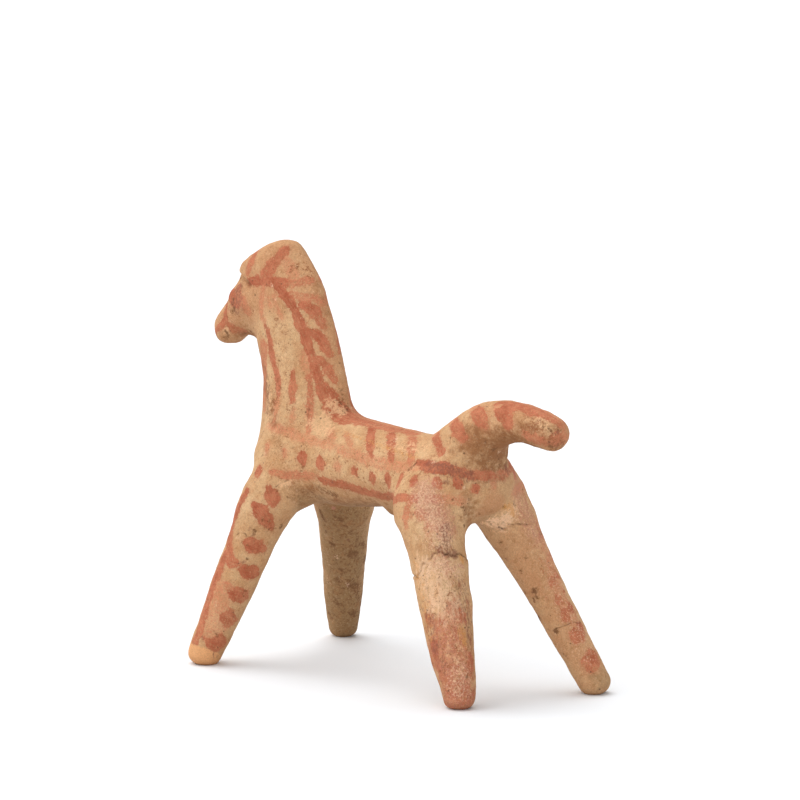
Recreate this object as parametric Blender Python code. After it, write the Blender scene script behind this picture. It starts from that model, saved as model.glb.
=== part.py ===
"""Terracotta horse, hand-modelled from rolls of clay that were pressed together and fired as one piece.

Metres, +Z up. The horse looks along -X and its left side faces -Y. The origin is on the ground,
under the middle of its length. Every roll is a row of oval rings, bridged and closed. The rolls are
pressed together, the joins are rounded as a potter's thumb rounds them, and the feet are worn flat.
"""

import math
from typing import NamedTuple

import bmesh
import bpy
from mathutils import Matrix, Vector

MM = 0.001

# Overall sizes, and what smoothing the clay takes off the nose and the tail
HEIGHT = 120.0 * MM
LENGTH = 141.0 * MM
NOSE_TRIM = 0.6 * MM
TAIL_TRIM = 1.2 * MM

# Trunk: a plain roll from the breast to the rump
TRUNK_AXIS_HEIGHT = 58.2 * MM
TRUNK_HEIGHT = 23.0 * MM
TRUNK_WIDTH = 25.0 * MM
BREAST_X = -36.2 * MM
RUMP_X = 32.8 * MM

# Neck and mane: a slab that is round at the throat and pinched thin at the crest
NECK_X = -33.3 * MM
CROWN_X = -45.8 * MM
NECK_DEPTH = 33.0 * MM
NECK_THICKNESS = 16.4 * MM
CROWN_SHARE = 0.954
CREST_PINCH = 0.20

# Head: one short roll that hangs forward from the neck, under the forelock
HEAD_THICKNESS = 13.8 * MM
MUZZLE_THICKNESS = 10.3 * MM
CHEEK_HEIGHT = 104.6 * MM
MUZZLE_HEIGHT = 92.7 * MM
FORELOCK_HEIGHT = 111.0 * MM
FORELOCK_THICKNESS = 9.0 * MM
FORELOCK_WIDTH = 13.0 * MM
FORELOCK_REACH = 10.9 * MM

# Tail: a stump that rises from the rump and droops at its end
TAIL_THICKNESS = 10.6 * MM
TAIL_ROOT_THICKNESS = 16.0 * MM
TAIL_HEIGHT = 78.6 * MM
TAIL_ROOT_X = 23.0 * MM

# Legs: tapering rolls that splay outwards
FORE_HIP_X = -32.2 * MM
HIND_HIP_X = 28.7 * MM
FORE_HIP_HEIGHT = 51.7 * MM
HIND_HIP_HEIGHT = 55.2 * MM
FORE_FOOT_X = -47.2 * MM
HIND_FOOT_X = 53.4 * MM
FORE_STANCE = 56.0 * MM
HIND_STANCE = 41.2 * MM
HIP_SPREAD = 24.0 * MM
HIP_FLATNESS = 0.88
ROOT_FORWARD_SHARE = 0.97
ROOT_INWARD_SHARE = 0.42
ROOT_LIFT_SHARE = 0.09
THIGH_THICKNESS = 18.0 * MM
SHANK_THICKNESS = 12.4 * MM
FOOT_THICKNESS = 9.0 * MM
FOOT_SINK = 0.9 * MM
FOOT_CENTRE_SHARE = 0.4
LEG_SHARES = (0.16, 0.3, 0.55, 0.8, 1.0)

# How the clay is worked
JOIN_RADIUS = 4.1 * MM
GRAIN = 0.8 * MM
STROKE_COUNT = 12
STROKE_FACTOR = 0.5
FACES_KEPT_SHARE = 0.064
RING_COUNT = 28
SPAN_COUNT = 6
BLUNT_END = 0.8
ROUND_END = 0.95


class Station(NamedTuple):
    """One place along a roll, with half its depth in the upright plane and half its width sideways."""

    place: Vector
    depth: float
    width: float


def through(values, share):
    """Catmull-Rom value at a share from 0 to 1 along evenly weighted values."""
    spans = len(values) - 1
    at = share * spans
    i = min(int(at), spans - 1)
    t = at - i
    a, b = values[i], values[i + 1]
    before = values[i - 1] if i else a * 2 - b
    after = values[i + 2] if i + 2 < len(values) else b * 2 - a
    return 0.5 * (
        a * 2
        + (b - before) * t
        + (before * 2 - a * 5 + b * 4 - after) * t**2
        + (a * 3 - before - b * 3 + after) * t**3
    )


def oval_ring(clay, station, along, pinch, capped):
    """Adds an oval ring across the direction along, thinned at its back, and returns its edges."""
    side = Vector((0, 1, 0))
    side = (side - along * side.dot(along)).normalized()
    back = side.cross(along)
    frame = Matrix((back * station.depth, side * station.width, along)).transposed().to_4x4()
    frame.translation = station.place
    ring = bmesh.ops.create_circle(clay, cap_ends=capped, segments=RING_COUNT, radius=1.0)["verts"]
    for point in ring:
        point.co.y *= 1 - pinch * max(0.0, point.co.x)
    bmesh.ops.transform(clay, matrix=frame, verts=ring)
    return list({edge for point in ring for edge in point.link_edges})


def end_dome(end, along, roundness):
    """The shrinking stations that round off one end of a roll."""
    reach = roundness * min(end.depth, end.width)
    for step in range(1, SPAN_COUNT):
        turn = 0.5 * math.pi * step / SPAN_COUNT
        place = end.place + along * (reach * math.sin(turn))
        yield Station(place, end.depth * math.cos(turn), end.width * math.cos(turn))


def roll_of_clay(clay, stations, pinch=0.0, roundness=BLUNT_END):
    """Adds one closed roll that runs smoothly through its stations and is domed at both ends."""
    count = SPAN_COUNT * (len(stations) - 1)
    curve = [Station(*(through(row, k / count) for row in zip(*stations))) for k in range(count + 1)]
    places = [station.place for station in curve]
    ahead = places[1:] + places[-1:]
    behind = places[:1] + places[:-1]
    ways = [(after - before).normalized() for after, before in zip(ahead, behind)]
    near_end = [(station, ways[0]) for station in end_dome(curve[0], -ways[0], roundness)]
    far_end = [(station, ways[-1]) for station in end_dome(curve[-1], ways[-1], roundness)]
    rows = near_end[::-1] + list(zip(curve, ways)) + far_end
    last = len(rows) - 1
    rings = []
    for k, (station, along) in enumerate(rows):
        rings.append(oval_ring(clay, station, along, pinch, capped=k in (0, last)))
    for low, high in zip(rings, rings[1:]):
        bmesh.ops.bridge_loops(clay, edges=low + high)


def trunk(clay):
    """The body roll, broad at the shoulders and haunches and a little deeper behind the neck."""
    # Rows: share of the way from breast to rump, lift, height and width
    shape = (
        (0.00, 0.00, 1.06, 1.20),
        (0.31, 0.02, 1.11, 1.06),
        (0.63, 0.03, 0.97, 1.02),
        (1.00, 0.02, 0.97, 1.20),
    )
    stations = []
    for share, lift, tall, wide in shape:
        place = Vector((BREAST_X + (RUMP_X - BREAST_X) * share, 0.0, TRUNK_AXIS_HEIGHT * (1 + lift)))
        stations.append(Station(place, TRUNK_HEIGHT / 2 * tall, TRUNK_WIDTH / 2 * wide))
    roll_of_clay(clay, stations, roundness=ROUND_END)


def neck(clay):
    """The neck and mane in one slab, from inside the breast to the crown."""
    crown_height = CROWN_SHARE * HEIGHT
    # Rows: share of the way up from trunk to crown, forward lean, depth and thickness
    shape = (
        (0.00, -0.06, 1.07, 1.75),
        (0.20, -0.05, 1.03, 1.25),
        (0.45, 0.11, 0.94, 0.98),
        (0.65, 0.39, 0.91, 0.93),
        (0.83, 0.68, 0.86, 0.88),
        (1.00, 1.00, 0.63, 0.74),
    )
    stations = []
    for share, lean, deep, thick in shape:
        z = TRUNK_AXIS_HEIGHT + (crown_height - TRUNK_AXIS_HEIGHT) * share
        place = Vector((NECK_X + (CROWN_X - NECK_X) * lean, 0.0, z))
        stations.append(Station(place, NECK_DEPTH / 2 * deep, NECK_THICKNESS / 2 * thick))
    roll_of_clay(clay, stations, pinch=CREST_PINCH)


def head(clay):
    """The face, from the cheeks to the blunt muzzle."""
    cheek, muzzle = HEAD_THICKNESS / 2, MUZZLE_THICKNESS / 2
    nose_x = muzzle - LENGTH / 2 - NOSE_TRIM
    # Rows: share of the way from crown to nose, drop, how much of the cheek is in the depth and the width
    shape = (
        (0.00, 0.08, 1.00, 1.00),
        (0.40, 0.22, 1.05, 0.95),
        (0.75, 0.63, 0.30, 0.25),
        (1.00, 1.00, 0.00, 0.00),
    )
    stations = []
    for share, drop, deep, wide in shape:
        z = CHEEK_HEIGHT + (MUZZLE_HEIGHT - CHEEK_HEIGHT) * drop
        place = Vector((CROWN_X + (nose_x - CROWN_X) * share, 0.0, z))
        stations.append(Station(place, muzzle + (cheek - muzzle) * deep, muzzle + (cheek - muzzle) * wide))
    roll_of_clay(clay, stations)


def forelock(clay):
    """The front end of the mane, which laps over the forehead."""
    # Rows: share of the reach in front of the crown, lift, thickness and width
    shape = (
        (-0.18, 0.22, 1.15, 1.00),
        (0.50, 0.11, 1.00, 0.95),
        (1.00, -0.28, 0.72, 0.75),
    )
    stations = []
    for share, lift, thick, wide in shape:
        z = FORELOCK_HEIGHT + FORELOCK_THICKNESS * lift
        place = Vector((CROWN_X - FORELOCK_REACH * share, 0.0, z))
        stations.append(Station(place, FORELOCK_THICKNESS / 2 * thick, FORELOCK_WIDTH / 2 * wide))
    roll_of_clay(clay, stations)


def tail(clay):
    """The tail, broad where it leaves the rump."""
    root, stump = TAIL_ROOT_THICKNESS / 2, TAIL_THICKNESS / 2
    end_x = LENGTH / 2 - stump + TAIL_TRIM
    # Rows: share of the way from root to end, lift, how much of the root is in the thickness
    shape = (
        (0.00, 0.24, 1.00),
        (0.22, 0.55, 1.16),
        (0.46, 0.90, 0.62),
        (0.70, 1.00, 0.00),
        (0.90, 0.95, -0.08),
        (1.00, 0.91, -0.18),
    )
    stations = []
    for share, lift, thick in shape:
        z = TRUNK_AXIS_HEIGHT + (TAIL_HEIGHT - TRUNK_AXIS_HEIGHT) * lift
        half = stump + (root - stump) * thick
        stations.append(Station(Vector((TAIL_ROOT_X + (end_x - TAIL_ROOT_X) * share, 0.0, z)), half, half))
    roll_of_clay(clay, stations)


def leg(clay, hip, foot, flare, girth):
    """A leg that leans up into the trunk above the hip and runs down to a foot on the ground."""
    foot_end = Vector((*foot, FOOT_CENTRE_SHARE * FOOT_THICKNESS - FOOT_SINK))
    root = Vector((
        hip.x * ROOT_FORWARD_SHARE,
        hip.y * ROOT_INWARD_SHARE,
        TRUNK_AXIS_HEIGHT + TRUNK_HEIGHT * ROOT_LIFT_SHARE,
    ))
    stations = [
        Station(root, girth[0], girth[0] * HIP_FLATNESS),
        Station(hip + Vector((flare, 0, 0)), girth[1], girth[1] * HIP_FLATNESS),
    ]
    for share, half in zip(LEG_SHARES, girth[2:]):
        stations.append(Station(hip.lerp(foot_end, share), half, half))
    roll_of_clay(clay, stations)


def legs(clay):
    """Four legs, each with its own hand-made lean and girth."""
    hips = ((FORE_HIP_X, FORE_HIP_HEIGHT), (HIND_HIP_X, HIND_HIP_HEIGHT))
    feet = ((FORE_FOOT_X, FORE_STANCE / 2), (HIND_FOOT_X, HIND_STANCE / 2))
    # Rows: hind or not, side, then as shares of the height the shift of the hip and of the foot along the
    # length, the shift of the foot outwards and the flare at the hip, then the girth as shares of the
    # thigh, the shank and the foot, from the top down
    stance = (
        (0, -1, -0.016, 0.006, 0.002, 0.013, (0.92, 0.96, 0.88), (1.10, 1.01, 0.88), (1.07,)),
        (0, 1, 0.014, -0.010, -0.002, -0.004, (0.92, 0.93, 0.98), (1.19, 1.03, 0.88), (0.94,)),
        (1, -1, 0.006, -0.051, -0.029, -0.018, (0.92, 1.00, 0.96), (1.25, 1.13, 0.98), (1.00,)),
        (1, 1, 0.013, 0.049, 0.028, -0.002, (0.96, 0.93, 0.89), (1.07, 0.90, 0.79), (0.99,)),
    )
    for hind, side, hip_shift, foot_shift, outwards, flare, *girths in stance:
        (hip_x, hip_z), (foot_x, foot_y) = hips[hind], feet[hind]
        sizes = (THIGH_THICKNESS, SHANK_THICKNESS, FOOT_THICKNESS)
        leg(
            clay,
            hip=Vector((hip_x + HEIGHT * hip_shift, side * HIP_SPREAD / 2, hip_z)),
            foot=(foot_x + HEIGHT * foot_shift, side * (foot_y + HEIGHT * outwards)),
            flare=HEIGHT * flare,
            girth=[size / 2 * share for size, shares in zip(sizes, girths) for share in shares],
        )


def clear_scene():
    """Removes the objects of the startup scene."""
    for thing in list(bpy.data.objects):
        bpy.data.objects.remove(thing)


def ground_cutter():
    """A block under the ground plane that wears the feet flat."""
    mesh = bpy.data.meshes.new("ground")
    block = bmesh.new()
    bmesh.ops.create_cube(block, size=1.0)
    bmesh.ops.scale(block, vec=(3 * LENGTH, 3 * LENGTH, HEIGHT), verts=block.verts)
    bmesh.ops.translate(block, vec=(0, 0, -HEIGHT / 2), verts=block.verts)
    block.to_mesh(mesh)
    block.free()
    cutter = bpy.data.objects.new("ground", mesh)
    cutter.hide_render = True
    cutter.display_type = "WIRE"
    bpy.context.scene.collection.objects.link(cutter)
    return cutter


def terracotta():
    """Fired clay under a pale slip, with worn red paint."""
    material = bpy.data.materials.new("painted_terracotta")
    material.use_nodes = True
    shader = material.node_tree.nodes["Principled BSDF"]
    shader.inputs["Base Color"].default_value = (0.55, 0.31, 0.16, 1.0)
    shader.inputs["Roughness"].default_value = 0.8
    shader.inputs["Metallic"].default_value = 0.0
    return material


def horse():
    """Joins the rolls, smooths the joins over and stands the horse on its feet."""
    clay = bmesh.new()
    for build in (trunk, neck, head, forelock, tail, legs):
        build(clay)
    bmesh.ops.recalc_face_normals(clay, faces=clay.faces)
    mesh = bpy.data.meshes.new("terracotta_horse")
    clay.to_mesh(mesh)
    clay.free()
    mesh.shade_smooth()
    mesh.materials.append(terracotta())
    figure = bpy.data.objects.new("terracotta_horse", mesh)
    bpy.context.scene.collection.objects.link(figure)

    moves = (("swell the clay", JOIN_RADIUS), ("draw it back", -JOIN_RADIUS))
    for step, offset in moves:
        pressed = figure.modifiers.new("press the rolls together", "REMESH")
        pressed.mode = "VOXEL"
        pressed.voxel_size = GRAIN
        pressed.use_smooth_shade = True
        moved = figure.modifiers.new(step, "DISPLACE")
        moved.direction = "NORMAL"
        moved.mid_level = 0.0
        moved.strength = offset
    smoothed = figure.modifiers.new("smooth the joins over", "SMOOTH")
    smoothed.factor = STROKE_FACTOR
    smoothed.iterations = STROKE_COUNT
    fewer = figure.modifiers.new("keep fewer faces", "DECIMATE")
    fewer.ratio = FACES_KEPT_SHARE
    worn = figure.modifiers.new("wear the feet flat", "BOOLEAN")
    worn.operation = "DIFFERENCE"
    worn.solver = "EXACT"
    worn.object = ground_cutter()
    return figure


def main():
    clear_scene()
    horse()


main()
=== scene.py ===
"""Painted terracotta horse: fired clay with a pale slip, worn red brushwork, cracks and stains.

The clay body of the frame is copied, worked over as a potter and the years did, and painted. A place on it
is given as millimetres along a guide inside one roll of clay and degrees round that guide: on the trunk,
neck, head, rump and tail 0 is the horse's left and 90 is up or back, on a leg 0 is outwards and 90 is
towards the head.
"""

import logging
import math
import random
from dataclasses import dataclass, field, replace
from enum import Enum
from functools import partial
from typing import Any, Callable, Sequence, TypeVar

import bpy
import numpy as np
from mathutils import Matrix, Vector, noise
from mathutils.bvhtree import BVHTree


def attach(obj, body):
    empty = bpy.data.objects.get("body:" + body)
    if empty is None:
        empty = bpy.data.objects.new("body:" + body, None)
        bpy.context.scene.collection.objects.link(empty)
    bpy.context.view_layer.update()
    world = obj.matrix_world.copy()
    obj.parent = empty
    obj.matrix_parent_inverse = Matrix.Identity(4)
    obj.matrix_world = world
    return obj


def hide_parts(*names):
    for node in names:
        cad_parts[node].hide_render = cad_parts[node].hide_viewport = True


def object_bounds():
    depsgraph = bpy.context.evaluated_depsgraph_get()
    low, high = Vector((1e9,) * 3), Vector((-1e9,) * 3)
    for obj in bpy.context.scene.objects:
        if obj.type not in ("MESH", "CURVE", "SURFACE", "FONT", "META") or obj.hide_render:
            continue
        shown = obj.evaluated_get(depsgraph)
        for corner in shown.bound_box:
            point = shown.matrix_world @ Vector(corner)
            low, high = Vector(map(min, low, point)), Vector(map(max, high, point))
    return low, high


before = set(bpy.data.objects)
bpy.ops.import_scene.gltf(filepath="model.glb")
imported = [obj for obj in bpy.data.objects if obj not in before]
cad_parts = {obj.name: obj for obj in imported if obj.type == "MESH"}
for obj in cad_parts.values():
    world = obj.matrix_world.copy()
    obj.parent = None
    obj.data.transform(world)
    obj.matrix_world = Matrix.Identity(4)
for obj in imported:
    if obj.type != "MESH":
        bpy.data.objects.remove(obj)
CAD_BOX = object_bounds()

log = logging.getLogger("terracotta horse")

MM = 0.001
SEED = 7
# Lengths in millimetres: of a line that is only a dot, and of one too short to have a direction
DOT, TINY = 0.05, 1e-6
# How far a repeated stroke strays, in millimetres and degrees, and the least share of its paint that it keeps
HAND_SHIFT, HAND_TILT, HAND_LOAD = 0.8, 3.0, 0.7

Place = tuple[float, float]
Line = tuple[Place, ...]
# Measures of marks that repeat, a few for each mark
Rows = tuple[tuple[float, ...], ...]
# Where a change starts and where it is full, then what it gives there
Ramp = tuple[float, float, float, float]
Mark = TypeVar("Mark")


class Part(Enum):
    """The rolls of clay that places are counted on."""

    TRUNK = "trunk"
    RUMP = "rump"
    NECK = "neck"
    HEAD = "head"
    TAIL = "tail"
    FORE_LEFT = "fore_left"
    FORE_RIGHT = "fore_right"
    HIND_LEFT = "hind_left"
    HIND_RIGHT = "hind_right"


class Tone(Enum):
    """Soft tones over the clay, each kept as a mesh attribute of that name. Rust, umber and grime also serve
    as painted shade.
    """

    BARE = "bare"
    WARM = "warm"
    UMBER_AND_SHADE = "umber_and_shade"
    RUST_AND_SHADE = "rust_and_shade"
    CRUST = "crust"
    BLOOM = "bloom"
    PLUM = "plum"
    GRIME_AND_SHADE = "grime_and_shade"
    LIME = "lime"
    OCHRE = "ochre"
    SPECKLE = "speckle"
    STREAK = "streak"
    CREAM = "cream"


@dataclass(frozen=True)
class Guide:
    """A line inside one roll of clay.

    Attributes:
        knots: the line's points, in millimetres.
        side: the direction of turn 0.
        up: the direction of turn 90.
    """

    knots: tuple[tuple[float, float, float], ...]
    side: tuple[float, float, float]
    up: tuple[float, float, float]

    def ray(self, along: float, turn: float) -> tuple[Vector, Vector]:
        """Finds where a place is looked for.

        Args:
            along: millimetres from the line's first point.
            turn: degrees round the line.

        Returns:
            The point on the line, in millimetres, and the direction outwards.
        """
        knots = [Vector(knot) for knot in self.knots]
        spans = [b - a for a, b in zip(knots, knots[1:])]
        ways = [span.normalized() for span in spans]
        bends = [ways[0], *((a + b).normalized() for a, b in zip(ways, ways[1:])), ways[-1]]
        i = 0
        while i < len(spans) - 1 and along >= spans[i].length:
            along -= spans[i].length
            i += 1
        share = along / spans[i].length
        way = bends[i].lerp(bends[i + 1], min(max(share, 0.0), 1.0)).normalized()
        side, up = Vector(self.side), Vector(self.up)
        side = (side - way * side.dot(way)).normalized()
        up = (up - way * up.dot(way) - side * up.dot(side)).normalized()
        angle = math.radians(turn)
        return knots[i] + spans[i] * share, side * math.cos(angle) + up * math.sin(angle)


@dataclass(frozen=True)
class Stroke:
    """One stroke of a brush with red slip.

    Attributes:
        part: the roll it lies on.
        load: how much paint is left, from 0 to 1.
        width: its width in millimetres.
        line: the places it passes.
        taper: how much narrower its ends are, from 0 to 1.
    """

    part: Part
    load: float
    width: float
    line: Line
    taper: float = 0.35

    def opposite(self, draw: random.Random) -> "Stroke":
        """Repeats the stroke on the horse's other side, as another move of the same hand.

        Args:
            draw: where its small differences are drawn from.

        Returns:
            The new stroke.
        """
        shift, tilt = draw.uniform(-HAND_SHIFT, HAND_SHIFT), draw.uniform(-HAND_TILT, HAND_TILT)
        line = tuple((along + shift, 180.0 - turn + tilt) for along, turn in self.line)
        return replace(self, load=self.load * draw.uniform(HAND_LOAD, 1.0), line=line)

    def carried(self, part: Part, load: float, turned: float = 0.0) -> "Stroke":
        """The same stroke on another leg, with its paint worn by the load and moved round by a turn."""
        line = tuple((along, turn + turned) for along, turn in self.line)
        return replace(self, part=part, load=self.load * load, line=line)


@dataclass(frozen=True)
class Wash:
    """A soft patch of one tone.

    Attributes:
        tone: which tone it is.
        part: the roll it lies on.
        strength: how strong it is, from 0 to 1.
        reach: how far it spreads to each side, in millimetres.
        line: the places it passes.
    """

    tone: Tone
    part: Part
    strength: float
    reach: float
    line: Line


@dataclass(frozen=True)
class Groove:
    """A crack, crease or repaired break.

    Attributes:
        part: the roll it lies on.
        depth: its depth in millimetres.
        width: half its width in millimetres.
        jagged: how far it strays from its line, in millimetres.
        lip: how far the clay stands up on the side towards the crown or the hip, in millimetres.
        line: the places it passes.
    """

    part: Part
    depth: float
    width: float
    jagged: float
    lip: float
    line: Line


@dataclass(frozen=True)
class Press:
    """Where a finger pressed the clay in, or left it full.

    Attributes:
        part: the roll it lies on.
        place: its middle.
        reach: its radius in millimetres.
        depth: how far the clay went in, in millimetres, below 0 where it stands out.
    """

    part: Part
    place: Place
    reach: float
    depth: float


LEFT, RIGHT = (0.0, -1.0, 0.0), (0.0, 1.0, 0.0)
UP, FORWARD, BACK = (0.0, 0.0, 1.0), (-1.0, 0.0, 0.0), (1.0, 0.0, 0.0)
GUIDES = {
    Part.TRUNK: Guide(((-50, 0, 60), (46, 0, 60)), LEFT, UP),
    Part.RUMP: Guide(((30, 0, 82), (30, 0, 40)), LEFT, BACK),
    Part.NECK: Guide(((-33, 0, 58), (-36, 0, 80), (-41, 0, 98), (-48, 0, 113)), LEFT, BACK),
    Part.HEAD: Guide(((-46, 0, 108), (-54, 0, 103), (-66, 0, 93.5)), LEFT, UP),
    Part.TAIL: Guide(((20, 0, 63), (33, 0, 71), (44, 0, 78.5), (55, 0, 80), (68, 0, 76.5)), LEFT, UP),
    Part.FORE_LEFT: Guide(((-33.5, -12, 52), (-46.5, -28.2, 2.7)), LEFT, FORWARD),
    Part.FORE_RIGHT: Guide(((-30.5, 12, 52), (-48.4, 27.8, 2.7)), RIGHT, FORWARD),
    Part.HIND_LEFT: Guide(((28, -12, 55), (47.3, -17.1, 2.7)), LEFT, FORWARD),
    Part.HIND_RIGHT: Guide(((30, 12, 55), (59.3, 24, 2.7)), RIGHT, FORWARD),
}


def shifted(line: Line, along: float) -> Line:
    """The same line further along its roll, by so many millimetres."""
    return tuple((place + along, turn) for place, turn in line)


class Section:
    """One part of the figure. Each of its fields that is a mark is laid on the clay."""

    def marks(self, kind: type[Mark]) -> list[Mark]:
        """This section's fields that are marks of one kind."""
        return [value for value in vars(self).values() if isinstance(value, kind)]

    def repeats(self) -> list[Stroke]:
        """The strokes that come in rows, none unless a section says so."""
        return []

    def near_strokes(self) -> list[Stroke]:
        """All strokes on the middle and the near side."""
        return self.marks(Stroke) + self.repeats()

    def far_strokes(self, draw: random.Random) -> list[Stroke]:
        """The far side's strokes, painted as the near one's, a little plainer."""
        return [stroke.opposite(draw) for stroke in self.near_strokes()]

    def washes(self) -> list[Wash]:
        """All soft patches."""
        return self.marks(Wash)


@dataclass
class Head(Section):
    """Forelock, brow, nose and jaw, with a headstall's noseband."""

    forelock: Stroke = Stroke(Part.HEAD, 0.8, 2.3, ((-1, 66), (1, 50), (3.5, 42)))
    brow: Stroke = Stroke(Part.HEAD, 0.66, 3.0, ((10, 34), (10.4, 20), (9.4, -12), (9.7, -32)), 0.1)
    eye: Stroke = Stroke(Part.HEAD, 0.95, 3.4, ((14, 40), (13.6, 16), (12.4, 2)), 0.1)
    noseband: Stroke = Stroke(Part.HEAD, 0.9, 1.8, ((17.5, 28), (19.5, 9), (20.6, -6), (24, -9), (27, -9)))
    jaw: Stroke = Stroke(Part.HEAD, 0.75, 2.4, ((20.3, -12), (20.4, -31), (20, -53), (18, -68)))
    warmth: Wash = Wash(Tone.WARM, Part.HEAD, 0.8, 15.0, ((0, 0), (10, 0), (22, 0)))
    cheek_specks: Wash = Wash(Tone.SPECKLE, Part.HEAD, 0.4, 7.0, ((14, -30), (10, -50)))
    eye_stain: Wash = Wash(Tone.PLUM, Part.HEAD, 0.6, 4.5, ((10.5, 24), (13, 0)))
    # Painted shade under the jaw, red-brown
    jaw_painted_shade_red: Wash = Wash(Tone.RUST_AND_SHADE, Part.HEAD, 0.6, 5.0, ((10, -80), (20, -75)))
    brow_rust: Wash = Wash(Tone.RUST_AND_SHADE, Part.HEAD, 0.45, 4.0, ((10, 30), (12, 0)))
    brow_dirt: Wash = Wash(Tone.GRIME_AND_SHADE, Part.HEAD, 0.5, 1.8, ((13.5, 16), (15.5, -8)))
    # Painted shade under the jaw, dark
    jaw_painted_shade_dark: Wash = Wash(Tone.GRIME_AND_SHADE, Part.HEAD, 0.4, 2.2, ((20, -75), (15, -80)))
    mouth: Wash = Wash(Tone.CRUST, Part.HEAD, 0.8, 1.3, ((22.3, -30), (23.5, -36)))
    mouth_dirt: Wash = Wash(Tone.GRIME_AND_SHADE, Part.HEAD, 0.85, 0.8, ((23.2, -30), (24, -49)))
    fleck: Wash = Wash(Tone.BLOOM, Part.HEAD, 1.0, 0.6, ((17.2, 7), (17.4, 3)))
    # The crease is also darkened: painted shade in the crease under the forelock
    crease: Groove = Groove(
        Part.HEAD, 0.8, 0.75, 0.0, 0.25,
        ((4.6, 14), (5.6, 30), (7.0, 46), (8.6, 60), (9.6, 90),
         (8.6, 120), (7.0, 134), (5.6, 150), (4.6, 166)),
    )
    near_notch: Press = Press(Part.HEAD, (9.6, 58), 1.9, 2.1)
    far_notch: Press = Press(Part.HEAD, (9.6, 122), 1.9, 2.1)
    lip: Press = Press(Part.HEAD, (5.4, 62), 2.2, -0.6)
    full_brow: Press = Press(Part.HEAD, (14, 90), 3.4, -0.9)
    near_brow: Press = Press(Part.HEAD, (14.4, 46), 3.4, -0.9)
    chin: Press = Press(Part.HEAD, (27, -38), 3.6, -0.7)
    nose_bridge: Press = Press(Part.HEAD, (18.6, 90), 3.2, 0.5)
    jaw_hollow: Press = Press(Part.HEAD, (15.5, -80), 3.6, 0.7)
    nostril: Press = Press(Part.HEAD, (23.5, -40), 1.4, 0.45)
    far_nostril: Press = Press(Part.HEAD, (23.5, 220), 1.4, 0.45)


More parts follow.
